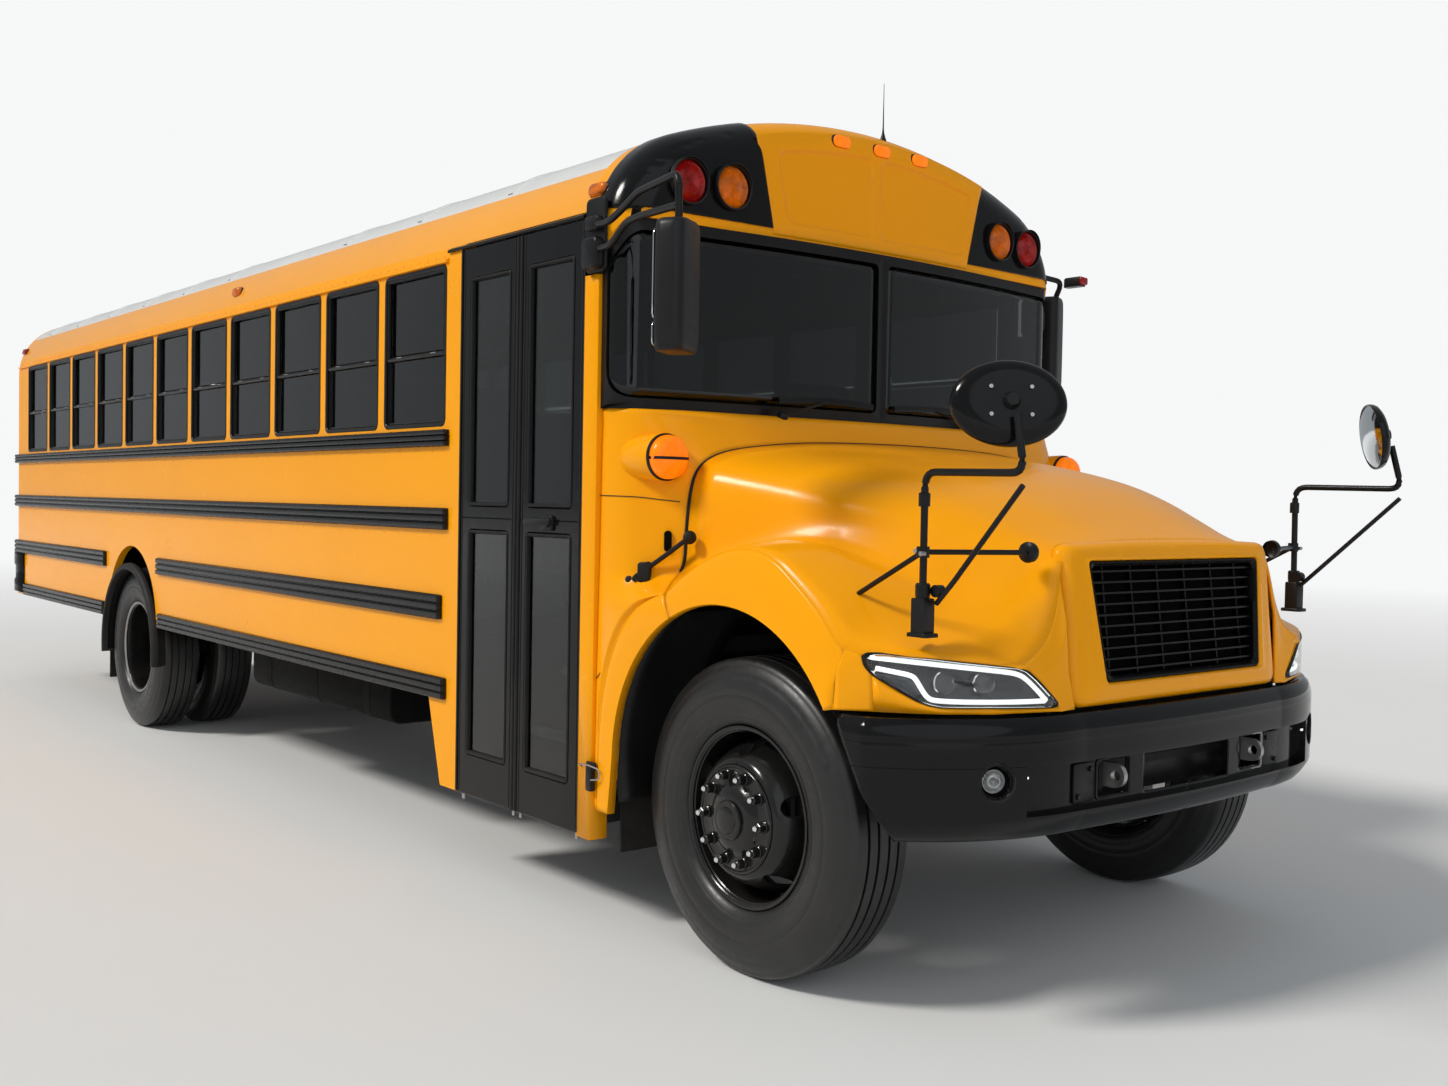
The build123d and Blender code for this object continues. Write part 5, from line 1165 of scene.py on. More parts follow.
addPiece("headlamp_covers", lampRings(lampLoop, lampMiddle, cover), "lampGlass", "hood", both=True,
    thick=.0025, merge=True)
addPiece("headlamp_light_bars", ledShapes, "ledAndGlintWhite", "hood", both=True, sharp=60)
addPiece("headlamp_lenses", [facedLathe(lensDome(.03, .018, 12), spot, headlamp["bulbAim"], 40)
    for spot in bulbs], "lampGlass", "hood", both=True)
addPiece("headlamp_bezels", [facedLathe(bezel, spot, headlamp["bulbAim"], 40, True) for spot in bulbs],
    "chrome", "hood", both=True)
addPiece("headlamp_inner_panels", lampRings(innerLoop, innerLoop.mean(0), [(share, .018) for share in (
    1, .6, .3, .001)]), "lampPanel", "hood", both=True, merge=True, thick=.002)
print("headlamps made")

# front bumper: one section of (height, inset) rows carried along its plan line, a long recess in its face
bumper = {"recessDepth": .034, "recessHalf": .795, "bendAt": 1.02, "fog": (.89, .75), "fogHole": .049,
    "hookY": .395, "fogAim": np.array((.87, .49, 0.0)), "middleSteps": 96, "outerSteps": 40, "endSteps": 26}
upperRows = [(.918, .062), (.929, .054), (.9335, .042), (.931, .026), (.918, .0115), (.897, .004), (.874, 0),
             (.869, .0012), (.864, .0), (.84, 0), (.815, 0), (.797, 0), (.792, .0015)]
recessRows = [(z, 0.0) for z in np.linspace(.792, .645, 20)]
lowerRows = [(.645, .0), (.64, 0), (.636, .0012), (.63, .0035), (.612, .014), (.594, .026), (.578, .04),
             (.571, .052), (.572, .066)]


# points on the circle through three points
def arcThrough(start, middle, end, count):
    start, middle, end = (np.asarray(p, float) for p in (start, middle, end))
    centre = np.linalg.solve(np.array([2 * (middle - start), 2 * (end - middle)]),
                             np.array([middle @ middle - start @ start, end @ end - middle @ middle]))
    turn = np.linspace(*(math.atan2(*(p - centre)[::-1]) for p in (start, end)), count)
    return centre + np.linalg.norm(start - centre) * np.stack([np.cos(turn), np.sin(turn)], 1)


planLine = np.concatenate([arcThrough((.925, -.56), (.95, 0), (.925, .56), 161)[80:-1],
                           arcThrough((.925, .56), (.814, .974), (.62, 1.2), 120)[:-1],
                           resampled([(.62, 1.2), (.48, 1.2145)], 20)])
planNormal = np.gradient(planLine, axis=0)
planNormal = unit(np.stack([planNormal[:, 1], -planNormal[:, 0]], 1))
planSteps = pathLength(planLine)
inRecess = np.repeat([False, True, False], [len(upperRows), len(recessRows), len(lowerRows)])
rowHeight, rowInset = np.array(upperRows + recessRows + lowerRows).T
edgeLength, bendLength = np.interp([bumper["recessHalf"], bumper["bendAt"]], planLine[:, 1], planSteps)
fixedSteps = np.concatenate([np.linspace(0, edgeLength, bumper["middleSteps"]),
                             np.linspace(edgeLength, bendLength, bumper["outerSteps"])])
endShare = np.linspace(0, 1, bumper["endSteps"])[1:]
endX = .5 + (.945 - rowHeight) / .389 * .2   # the lower rows end further forward
rowEndLength = np.interp(-endX, -planLine[90:, 0], planSteps[90:])
lengths = np.concatenate([np.repeat(fixedSteps[None], len(rowHeight), 0),
                          bendLength + (rowEndLength - bendLength)[:, None] * endShare[None]], 1)
columnInRecess = np.arange(lengths.shape[1]) < bumper["middleSteps"]
depth = rowInset[:, None] + bumper["recessDepth"] * (inRecess[:, None] & columnInRecess[None])
plan = [np.interp(lengths, planSteps, planLine[:, k])
        - depth * np.interp(lengths, planSteps, planNormal[:, k]) for k in (0, 1)]
points, (quads,) = gridShape(spread(*plan, rowHeight[:, None]))
middleY, middleZ = points[quads].mean(1)[:, 1:].T
fogHole = np.hypot((middleY - bumper["fog"][0]) / .86, middleZ - bumper["fog"][1]) < bumper["fogHole"]
hookHole = (np.abs(middleY - bumper["hookY"]) < .075) & (middleZ > .665) & (middleZ < .775)
centreHole = (np.abs(middleY) < .24) & (middleZ > .658) & (middleZ < .78)
addPiece("bumper_shell", (points, [quads[~(fogHole | hookHole | centreHole)]]), "glossBlack",
    replaces="bumper_front", both=True, merge=True, sharp=32, thick=.006, outward=(1, 0, 0))
hookTurn = np.linspace(-math.pi / 2, math.pi / 2, 16)
hookBend = np.stack([.912 + .038 * np.cos(hookTurn), .728 + .038 * np.sin(hookTurn)], 1)
hookOuter = np.array([(.84, .69), *hookBend, (.84, .766)])
eyeTurn = circle(len(hookOuter)) - 2.6
hookInner = np.stack([.918 + .0165 * np.cos(eyeTurn), .728 + .0165 * np.sin(eyeTurn)], 1)
hookWindow = [(.893, 1.0), (.901, 1.0), (.9025, .98), (.9025, .92), (.899, .9), (.893, .9)]
mounts, hooks, hookRims, paintedGlints, recessPlates, bolts = [], [], [], [], [], []
for side in (1, -1):
    y = side * bumper["hookY"]
    window = ringTube(roundedOutline(.166, .125, .012, 4), (y, .7205), 0, hookWindow)
    # the right hook's window ring goes into the black backing and only the left one is pale: the right one's
    # black is painted shade
    mounts += [plate([(.11, .0575), (-.11, .0575), (-.11, -.0575), (.11, -.0575)], (.7, side * .31, .7225),
                     "front", .1),
               block((.026, .1, .004, 3), (.86, y - .01, .72), "right", .02)] + [window] * (side == -1)
    hookRims += [window] * (side == 1)
    hookRings = [np.insert(ring, 1, y + off, axis=1) for ring, off in (
        (hookInner, -.009), (hookOuter, -.009), (hookOuter, .009), (hookInner, .009))]
    hooks.append(gridShape(np.stack(hookRings), closeU=True, closeV=True))
    # a small glowing white strip in the recess beside each fog lamp: a painted reflection, not a lamp
    paintedGlints.append(moved(block((.046, .007, .003, 3), (0, 0, 0), ((0, side, 0), (0, 0, side)), .003),
                        (.879, side * .8, .757)))
    recessPlates.append(block((.1, .12, .006, 3), (.8935, side * .535, .7185), "front", .006, .002))
    bolts += [pin(.004, .013, .009, 6, (.893, side * (.535 + offY), .7185 + offZ), (1, 0, 0))
              for offY, offZ in ((-.03, .04), (.03, -.04))]
mounts += [plate([(-.8, -.08), (.8, -.08), (.8, .08), (-.8, .08)], (.8, 0, .72), "front", .012),
    plate([(-.64, -.0775), (.64, -.0775), (.64, .0775), (-.64, .0775)], (.835, 0, .8775), "front", .01)]
addPiece("bumper_backing", mounts, "satinBlack", slot="chassis_black")
addPiece("tow_hooks", hooks, "brightSteel")
addPiece("hook_window_rims", hookRims, "wornRim")
addPiece("recess_plates", recessPlates + bolts, "blackPlastic", slot="gloss_black")
fogAim = bumper["fogAim"]
fogSpot = np.array((np.interp(bumper["fog"][0], planLine[:, 1], planLine[:, 0]), *bumper["fog"]))
fogBezel = [(-.034, .041), (-.004, .047), (.002, .05), (.003, .054), (.0, .059), (-.004, .0595), (-.03, .045)]
fogBowl = [(-.004, .047), (-.03, .041), (-.04, .03), (-.046, .0001)]
fogReflector = [(-.012, .0001), (-.011, .012), (-.006, .026), (.001, .035)]
addPiece("fog_lamp_bezels", [facedLathe(fogBezel, fogSpot, fogAim, 48, True),
    facedLathe(fogBowl, fogSpot, fogAim, 48)], "glossBlack", both=True, sharp=40)
addPiece("fog_lamp_lenses", facedLathe(ringLens(.034, .01, 8), fogSpot - fogAim * .03, fogAim, 40),
    "lampGlass", both=True, merge=True, thick=.003)
addPiece("fog_lamp_reflectors", facedLathe(fogReflector, fogSpot - fogAim * .028, fogAim, 40), "aluminium",
    both=True, merge=True, thick=.001)
addPiece("fog_lamp_painted_glints", paintedGlints, "ledAndGlintWhite")
print("bumper made")

# grille: level and upright bars behind a frame, and a matte black sheet behind them that is painted shade for
# the grille's dark inside, all at depths behind the nose's plane
grille = {"bars": 10, "low": 1.013, "high": 1.383, "halves": (.437, .484),
          "uprights": (-.372, -.225, -.08, .075, .235, .385)}
barProfile = [(-.011, -.0045), (.011, -.003), (.011, .003), (-.011, .0045)]
uprightProfile = [(-.004, -.008), (.004, -.008), (.004, .008), (-.004, .008)]


# a point behind the nose's plane, which bends back towards the sides by the fourth power
def nosePoint(y, z, depth):
    return spread(noseX(z) - depth - .01 * (np.abs(y) / hood["grilleHalf"]) ** 4, y, z)


bars = []
for height in np.linspace(grille["low"], grille["high"], grille["bars"] + 2)[1:-1]:
    half = np.interp(height, (grille["low"], grille["high"]), grille["halves"]) - .004
    bars.append(carried(barProfile, nosePoint(np.linspace(-1, 1, 25) * half, height, .03)))
bars += [carried(uprightProfile, nosePoint(offset, np.linspace(1.018, 1.379, 8), .045), up=(1, 0, 0))
         for offset in grille["uprights"]]
frameInner = cornerLoop([(.466, 1.366), (-.466, 1.366), (-.421, 1.03), (.421, 1.03)], [.03] * 4, 14, 8)
frameRings = [nosePoint(*(grilleLoop * (1 - share) + frameInner * share).T, depth) for share, depth in (
    (0.0, .05), (0.0, .004), (.18, -.001), (.45, -.001), (1.0, .01), (1.0, .05))]
bars.append(gridShape(np.stack(frameRings), closeU=True, closeV=True))
addPiece("grille_bars", bars, "grilleBlack", "hood", replaces="grille", sharp=40)
# a matte black sheet behind the bars: painted shade for the grille's dark inside
shadeSheet = nosePoint(np.linspace(-.48, .48, 20)[None, :], np.linspace(1.01, 1.385, 8)[:, None], .056)
addPiece("grille_shade_sheet", gridShape(shadeSheet), "paintedShadeBlack", "hood", thick=.003)
print("grille made")


# a rounded rectangle on a lengthwise plane, as (x, z) pairs round from its front top corner
def sideRect(low, high, radius, inset=0.0):
    outline = roundedOutline(high[0] - low[0] - 2 * inset, high[1] - low[1] - 2 * inset,
        max(radius - inset, .0015))
    return outline + ((low[0] + high[0]) / 2, (low[1] + high[1]) / 2)


# a closed ring of sheet: each (x, z) outline stands at its own distance from the middle plane
def frameRing(outlines):
    return gridShape(np.stack([np.insert(outline, 1, y, axis=1) for outline, y in outlines]), closeU=True,
                     closeV=True)


# the same from one rectangle, by inset and distance
def insetRing(low, high, radius, steps):
    return frameRing([(sideRect(low, high, radius, inset), y) for inset, y in steps])


# a profile carried between two points of one height or one place
def strip(profile, start, end, up=(1, 0, 0)):
    return carried(profile, [start, end], up)


# entrance door: two leaves, each a frame with two panes, gaskets round them and beads down its edges
door = {"low": .325, "high": 2.552, "face": -1.2195, "back": -1.184, "panes": ((.495, 1.41), (1.51, 2.43)),
        "stile": .062, "middle": 1.46}
# each leaf's start, end, and way in from its meeting edge
doorLeaves = {"rear": (-1.694, -1.259, -1), "front": (-1.247, -.812, 1)}
face, back = door["face"], door["back"]
for leafName, (start, end, inward) in doorLeaves.items():
    frames, gaskets, beads = [], [], []
    for (paneLow, paneHigh), (outLow, outHigh) in zip(door["panes"], ((door["low"], door["middle"]),
                                                                      (door["middle"], door["high"]))):
        hole = ((start + door["stile"], paneLow), (end - door["stile"], paneHigh))
        outer = ((start, outLow), (end, outHigh), .004)
        frames.append(frameRing([(sideRect(*outer), back), (sideRect(*outer), face + .003),
                                 (sideRect(*outer, .003), face), (sideRect(*hole, .02, -.006), face),
                                 (sideRect(*hole, .016, -.002), face + .003), (sideRect(*hole, .014), back)]))
        gaskets.append(insetRing(*hole, .014, [(.0005, face + .022), (.0, face - .0005), (.004, face - .0035),
                                               (.01, face - .002), (.014, face + .004), (.014, face + .022)]))
    meeting, hinge = (end, start) if inward < 0 else (start, end)
    for place, profile, out, trim in ((meeting + inward * .006, (.0085, 10), .001, .004),
                                      (meeting + inward * .03, (.004, 10), .001, .004),
                                      (hinge - inward * .008, (.005, 8), .002, .01)):
        beads.append(strip(ringProfile(*profile), (place, face + out, door["low"] + trim),
                           (place, face + out, door["high"] - trim)))
    body = "door_" + leafName
    addPiece(f"leaf_{leafName}", frames, "glossBlack", body, replaces=f"door_leaf_{leafName}", sharp=30)
    addPiece(f"leaf_seals_{leafName}", gaskets + beads, "blackRubber", body)
    pins = [lathe(profile, sides, (x, -1.2, z), (0, 0, 1)) for profile, sides, x, z in (
        ([(0, .0001), (0, .009), (.028, .009), (.03, .0001)], 14, hinge - inward * .02, .3),
        ([(0, .0001), (0, .007), (.026, .007), (.027, .0001)], 12, meeting + inward * .02, .302))]
    addPiece(f"leaf_pins_{leafName}", pins, "brightSteel", body)
handleBoss = [(0, .0001), (0, .017), (.02, .017), (.022, .012), (.022, .0001)]
addPiece("door_handle", [block((.075, .058, .01, 4), (-1.028, -1.2195, 1.452), "right", .012, .004),
    block((.185, .026, .01, 4), (-1.082, -1.2305, 1.456), "right", .014, .005),
    lathe(handleBoss, 20, (-1.018, -1.2195, 1.452), outboard)], "blackPlastic", "door_front")
# rubber round the opening and the drip rails above it
surround = [strip([(-.004, 0), (wide, 0), (wide, deep), (-.004, deep)], (x, y, .33), (x, y, 2.555), outboard)
            for x, y, wide, deep in ((-1.7045, -1.2145, .006, .01), (-.8045, -1.2155, .004, .008))]
addPiece("door_surround", surround, "blackRubber")
dripProfile = np.array([(0, -.004), (.014, -.01), (.018, -.008), (.018, .001), (.015, .003), (0, .012)])


# a gutter lip along the side, where the body's outline has that height
def dripRail(side, start, end, z):
    y = side * float(np.interp(z, (2.46, 2.5, 2.55, 2.6), (1.219, 1.2182, 1.2122, 1.2002))) - side * .003
    return strip(dripProfile * (-side, 1), (start, y, z), (end, y, z), up=(0, 0, 1))


addPiece("drip_rails", [dripRail(-1, -9.05, -1.83, 2.528), dripRail(1, -9.05, -.835, 2.528)], "bodyYellow")
addPiece("door_drip_rail", dripRail(-1, -1.83, -.818, 2.566), "satinBlack")
print("door made")

# side windows: a frame, a lower and an upper sash, and two catches each
window = {"first": -2.125, "pitch": .635, "count": 11, "width": .565, "low": 1.842, "high": 2.512,
    "face": 1.2205, "driver": (-1.29, .8), "sashSide": .015, "sill": (1.856, 2.158), "top": (2.139, 2.498)}
frameShapes, catchShapes = [], []
for side in (-1, 1):
    row = [(window["first"] - window["pitch"] * index, window["width"]) for index in range(window["count"])]
    for middle, width in row + [window["driver"]] * (side == 1):
        start, end, face = middle - width / 2, middle + width / 2, side * window["face"]
        sash = (start + window["sashSide"], end - window["sashSide"])
        for low, high, radius, steps in (   # steps: inset, distance in from the face
                ((start, window["low"]), (end, window["high"]), .03,
                 ((-.004, .001), (-.002, -.0015), (.01, -.0015), (.014, .002), (.014, .03), (.001, .03))),
                ((sash[0], window["sill"][0]), (sash[1], window["sill"][1]), .01,
                 ((0, .022), (0, .012), (.003, .0095), (.01, .0095), (.012, .022))),
                ((sash[0], window["top"][0]), (sash[1], window["top"][1]), .01,
                 ((0, .012), (0, .004), (.002, .0025), (.012, .0025), (.014, .012)))):
            frameShapes.append(insetRing(low, high, radius, [
                (inset, face - side * into) for inset, into in steps]))
        catchShapes += [block((.042, .012, .003, 3), (middle + offset, face - side * .0095, 2.15),
            ((-side, 0, 0), (0, 0, 1)), .005, .001) for offset in (-width * .28, width * .28)]
rearSteps = [(-9.1, .999), (-9.1325, .999), (-9.134, .985), (-9.133, .93), (-9.128, .915), (-9.1, .915)]
rearOutline = roundedOutline(.48, .61, .02)
frameShapes += [ringTube(rearOutline, (side * .82, 2.147), 0, rearSteps) for side in (1, -1)]
addPiece("window_frame_rings", frameShapes, "satinBlack", replaces="window_frames", sharp=40)
addPiece("window_catches", catchShapes, "brightSteel")

# rub rails: one profile with three ribs carried along each run; low, high, rear, front, gap at the rear arch
railRows = ((1.754, 1.824, -9.12, -1.805, 0), (1.404, 1.496, -9.12, -1.805, 0),
    (1.026, 1.13, -9.12, -1.85, .545), (.692, .784, -8.84, -1.805, .575))
railShapes = []
for side in (1, -1):
    for low, high, rear, front, gap in railRows:
        tall = high - low
        half = tall * .115
        ribs = [(0, 0), (.012, 0)]
        for centre in (tall * (index + .5) / 3 for index in range(3)):
            ribs += [(.013, centre - half - .004), (.021, centre - half), (.022, centre - half * .5),
                     (.022, centre + half * .5), (.021, centre + half), (.013, centre + half + .004)]
        out, up = np.array(ribs + [(.012, tall), (0, tall)]).T
        for start, end in [(rear, rearAxle - gap), (rearAxle + gap, front)] if gap else [(rear, front)]:
            railShapes.append(capped([
                spread(x, side * (1.2195 + out * size),
                       low + tall / 2 + (up - tall / 2) * (.94 + .06 * (size == 1)))
                for x, size in ((start, .72), (start + .01, 1), (end - .01, 1), (end, .72))]))
addPiece("rub_rail_strips", railShapes, "railBlack", replaces="rub_rails", sharp=28)

# rivets: small domes in rows along the panels' edges
domeRadius, domeRise = np.array([(.0045, 0), (.0036, .0016), (.0018, .0026), (.0001, .0028)]).T[..., None]
rivetPoints, (rivetFaces,) = gridShape(spread(domeRadius * np.cos(circle(8)), domeRise,
    domeRadius * np.sin(circle(8))), closeV=True)
spots = []
for side, front in ((-1, -1.86), (1, -.9)):
    for z, y, pitch in ((2.548, 1.2128, .075), (2.7, 1.1515, .075), (1.735, 1.219, .15), (1.38, 1.219, .15)):
        spots += [(x, side * y, z) for x in np.arange(-9.0, front, pitch)]
spots = np.array(spots)
outwardness = spread(1, np.where(spots[:, 1] > 0, 1.0, -1.0), 1)
allRivets = (spots[:, None] + rivetPoints[None] * outwardness[:, None]).reshape(-1, 3)
rivetIndex = (rivetFaces[None] + (np.arange(len(spots)) * len(rivetPoints))[:, None, None]).reshape(-1, 4)
addPiece("rivets", (allRivets, [rivetIndex]), "bodyYellow", loose=True)

# the rear arch: a rubber flare with a rounded outer edge, its section as (radius, distance from the middle)
flareSection = [(.508, 1.15), (.508, 1.245), (.512, 1.253), (.52, 1.256), (.535, 1.254), (.547, 1.246),
                (.553, 1.234), (.5545, 1.2185)]
turn, (radius, outY) = np.radians(np.linspace(-8, 188, 90))[:, None], np.array(flareSection).T
addPiece("rear_arch_flares", [gridShape(spread(rearAxle + radius * np.cos(turn), side * outY,
    axleHeight + radius * np.sin(turn)), closeV=True) for side in (1, -1)], "blackRubber",
    replaces="arch_flares")
print("side details made")

# catches on the hood and the cowl, steps, wipers
latchShapes = [tube([(-.345, -1.086, 1.418), (-.44, -1.115, 1.352), (-.572, -1.165, 1.262)], .0085, .03, 10)]
latchShapes += [
    lathe([(-.02, .0001), (-.015, .014), (0, .0185), (.015, .014), (.02, .0001)],
          20, (-.345, -1.088, 1.418), (.5, -.8, .4)),
    lathe([(-.016, .0001), (-.012, .012), (0, .016), (.012, .012), (.016, .0001)], 20, (-.572, -1.17, 1.262),
          (.5, -.8, .4)),
    block((.046, .07, .01, 4), (-.52, -1.14, 1.292), "latch", .026, .006),
    pin(-.004, .012, .012, 14, (-.5, -1.142, 1.318), (.63, -.78, 0)),
    pin(-.004, .01, .01, 14, (-.54, -1.168, 1.268), (.63, -.78, 0)),
    lathe([(-.016, .0001), (-.016, .02), (.004, .024), (.012, .018), (.014, .0001)],
          20, (-.349, -1.078, 1.418),
          (.63, -.78, .1))]
addPiece("hood_latches", latchShapes, "blackRubber", both=True, sharp=50)
# the cowl's slots are matte black plates on its surface: painted shade for the openings
addPiece("cowl_slots", block((.026, .074, .0125, 5), (-.458, -1.089, 1.402), "latch", .009, .002),
    "paintedShadeBlack", both=True)
wire = [(-.775, -1.222, .575), (-.775, -1.236, .588), (-.712, -1.238, .592), (-.655, -1.232, .585),
        (-.655, -1.228, .548), (-.7, -1.236, .54)]
addPiece("side_catch", [block((.032, .095, .006, 3), (-.712, -1.219, .545), "right", .02, .005),
    block((.052, .028, .005, 3), (-.712, -1.219, .588), "right", .012, .003)], "blackPlastic")
addPiece("side_catch_wire", tube(wire, .003, .012, 8), "brightSteel")
steps = {"count": 3, "front": -1.174, "depth": (1.174 - .5 - .015) / 3, "low": .365, "rise": .225}
nosings = []
for index in range(steps["count"]):
    y, z = steps["front"] + steps["depth"] * index, steps["low"] + steps["rise"] * index
    nosings += [block((.84, .034, .004, 3), (-1.253, y + .02, z), "up", .004, .001),
                block((.84, .03, .004, 3), (-1.253, y - .0005, z - .014), "right", .003, .001)]
addPiece("step_nosings", nosings, "paleNosing")
wiperFoot = [(-.03, .0001), (-.03, .02), (.004, .022), (.014, .016), (.016, .0001)]
bladeProfile = [(-.003, -.014), (.003, -.014), (.005, .0), (.002, .01), (-.002, .01), (-.005, .0)]
wiperShapes = []
for side in (1, -1):
    pivot = np.array((-.47, side * .553, 1.868))
    bladeY = np.linspace(side * .54, side * .06, 24)
    blade = spread(-.505 + .004 - .0875 * (np.abs(bladeY) / 1.095) ** 2 + .014, bladeY,
                   1.93 + .01 * np.sin(np.linspace(0, math.pi, 24)))
    wiperShapes += [lathe(wiperFoot, 24, pivot, (.45, 0, .9)),
        tube([pivot + (.004, 0, .01), pivot + (.008, -side * .08, .022), (-.497, side * .3, 1.935)], .006,
        .03, 8), carried(bladeProfile, blade)]
addPiece("wiper_sets", wiperShapes, "satinBlack", replaces="wipers", sharp=40)
print("small parts made")

# windshield: two bowed panes in one rubber gasket, drawn as (length along the glass from its middle, height)
glass = {"middleX": -.505, "frontRadius": 6.934, "bendRadius": .09866, "bendY": 1.10634, "bendX": -.69,
    "low": 1.868, "high": 2.538, "shoulder": 2.392, "paneLow": 1.905, "paneHigh": 2.498,
    "paneShoulder": 2.372, "footRadius": .115}
bendTurn, glassY = np.radians(np.linspace(-6.6, 90, 40)), np.linspace(0, 1.095, 60)[:-1]
arcX = glass["middleX"] - (glass["frontRadius"] - np.sqrt(glass["frontRadius"] ** 2 - glassY ** 2))
glassX = np.concatenate([arcX, glass["bendX"] + glass["bendRadius"] * np.cos(bendTurn), [-.745]])
glassY = np.concatenate([glassY, glass["bendY"] + glass["bendRadius"] * np.sin(bendTurn), [1.205]])
glassSteps = pathLength(np.stack([glassX, glassY], 1))


# a point of the windshield's plan line, moved outward by a depth
def onGlass(length, height, depth, step=.004):
    far = np.abs(np.asarray(length, float))
    side = np.sign(length) + (length == 0)
    alongX = np.interp(far + step, glassSteps, glassX) - np.interp(far - step, glassSteps, glassX)
    alongY = np.interp(far + step, glassSteps, glassY) - np.interp(np.maximum(far - step, 0), glassSteps,
        glassY)
    alongX = np.where(far < .005, 0, alongX)
    size = np.maximum(np.hypot(alongX, alongY), 1e-9)
    return spread(np.interp(far, glassSteps, glassX) + alongY / size * depth,
                  side * (np.interp(far, glassSteps, glassY) - alongX / size * depth), height)


cutTop, cutFoot = np.interp([.606, .716], -glassX[59:], glassSteps[59:])
gasketCorners = [(cutTop, glass["high"]), (.0, glass["high"]), (.0, glass["low"]), (cutFoot, glass["low"]),
                 (cutFoot, glass["shoulder"])]
paneCorners = [(cutTop - .012, glass["paneHigh"]), (.026, glass["paneHigh"]), (.026, glass["paneLow"]),
               (cutFoot - .034, glass["paneLow"]), (cutFoot - .034, glass["paneShoulder"])]
gasketLoop = cornerLoop(gasketCorners, [.001] * 5, 26, 7)
paneLoop = cornerLoop(paneCorners, [.05, .03, .03, glass["footRadius"], .05], 26, 7)
sharedLoop = paneLoop + (gasketLoop - paneLoop) * .35
columns = np.concatenate([np.linspace(.02, 1.05, 22), np.linspace(1.06, cutFoot - .028, 26)])
footReach = np.maximum(columns - (cutFoot - .028 - glass["footRadius"]), 0)
footRise = glass["footRadius"] - np.sqrt(np.maximum(glass["footRadius"] ** 2 - footReach ** 2, 0))
lows = np.where(columns > cutFoot - .14, glass["paneLow"] + footRise - .006, 1.899)
highs = np.minimum(2.503, np.interp(columns, (0, cutTop - .012, cutFoot - .034), (2.504, 2.504, 2.378)))
paneHeights = lows[:, None] + (highs - lows)[:, None] * np.linspace(0, 1, 14)[None]
gasketShapes, paneShapes = [], []
for side in (1, -1):
    gasketShapes.append(gridShape(np.stack([onGlass(side * loop[:, 0], loop[:, 1], depth) for loop, depth in (
        (gasketLoop, -.016), (gasketLoop, .0005), (sharedLoop, .0015), (paneLoop, .0045), (paneLoop, .0015),
        (paneLoop, -.01))]), closeU=True, closeV=True))
    paneShapes.append(gridShape(onGlass(side * columns[:, None], paneHeights, -.003), flip=side == -1))
addPiece("windshield_gasket", gasketShapes, "satinBlack", slot="black_rubber", replaces="windshield_frame",
    sharp=60)
addPiece("windshield_panes", paneShapes, "darkGlass", replaces="windshield", thick=.005)
print("windshield made")

# the cap's skin: its front face with two sunk panels
cap = {"low": 2.552, "below": .052, "proud": .012, "clear": .0006, "corner": .04, "blend": .016}


# 1 inside a rounded box whose sides lean and whose top is bowed, 0 outside it, eased over a width
def softBox(y, z, low, high, sideLow, sideHigh, radius, blend):
    top = high - .062 * (y / .58) ** 2
    lean = np.clip((z - low) / (2.9 - low), 0, 1.1)
    left, right = (side[0] + (side[1] - side[0]) * lean for side in (sideLow, sideHigh))
    offY = np.abs(y - (left + right) / 2) - (right - left) / 2 + radius
    offZ = np.abs(z - (low + top) / 2) - (top - low) / 2 + radius
    away = np.hypot(np.maximum(offY, 0), np.maximum(offZ, 0)) + np.minimum(np.maximum(offY, offZ), 0) - radius
    t = np.clip(.5 - away / blend, 0, 1)
    return t * t * (3 - 2 * t)


capColumns, capRows = np.linspace(-1, 1, 150)[None], np.linspace(0, 1, 84)[:, None]
edgeHeights = cap["low"] + (roofHeight(0) - cap["below"] - cap["low"]) * capRows
capY = capColumns * (.555 + .0842 * np.clip((edgeHeights - 2.574) / .396, -.1, 1.1) - .002)
capZ = cap["low"] + (roofHeight(capY) - cap["below"] - cap["low"]) * capRows
sunk = np.maximum(*(softBox(capY, capZ, 2.604, 2.914, *sides, cap["corner"], cap["blend"]) for sides in (
    ((-.482, -.548), (-.04, -.04)), ((.005, .005), (.525, .582)))))
edge = np.minimum(np.minimum(capRows, 1 - capRows) * 9, (1 - np.abs(capColumns)) * 16)
proud = cap["clear"] + cap["proud"] * (1 - sunk) * np.clip(edge, 0, 1) ** .5
addPiece("cap_skin", gridShape(spread(capX(capY) + proud, capY, capZ)), "bodyYellow", sharp=60, loose=True)
print("cap made")

# stop arm: a blank octagon with a pale border on both faces, and lamps at its top and foot
stopCentre = np.array((-2.33, 1.265, 1.585))
octagonTurn = [math.radians(22.5 + 45 * k) for k in range(8)]
octagon = np.array([(math.cos(turn), math.sin(turn)) for turn in octagonTurn])
domeProfile = np.concatenate([[(0, .0001), (.0, .03), (.003, .03)], lensDome(.027, .006, 6) + (.003, 0)])
stopFace = [plate(octagon * .2425, stopCentre - (0, .0118, 0), "left", .0116, .0015)]
stopFace += [block((.104, .038, .006, 4), (-2.083, 1.2533, z), "left", .0112, .001) for z in (1.5, 1.67)]
stopBorder, stopLamps = [], []
for face, outward in ((stopCentre[1] - .0001, 1), (stopCentre[1] - .0119, -1)):
    stopBorder.append(ringTube(octagon, stopCentre[::2], 1, [
        (face, .2385), (face + outward * .0007, .2385), (face + outward * .0007, .2195), (face, .2195)]))
    stopLamps += [lathe(domeProfile, 28, (stopCentre[0], face, stopCentre[2] + z), (0, outward, 0))
                  for z in (-.15, .15)]
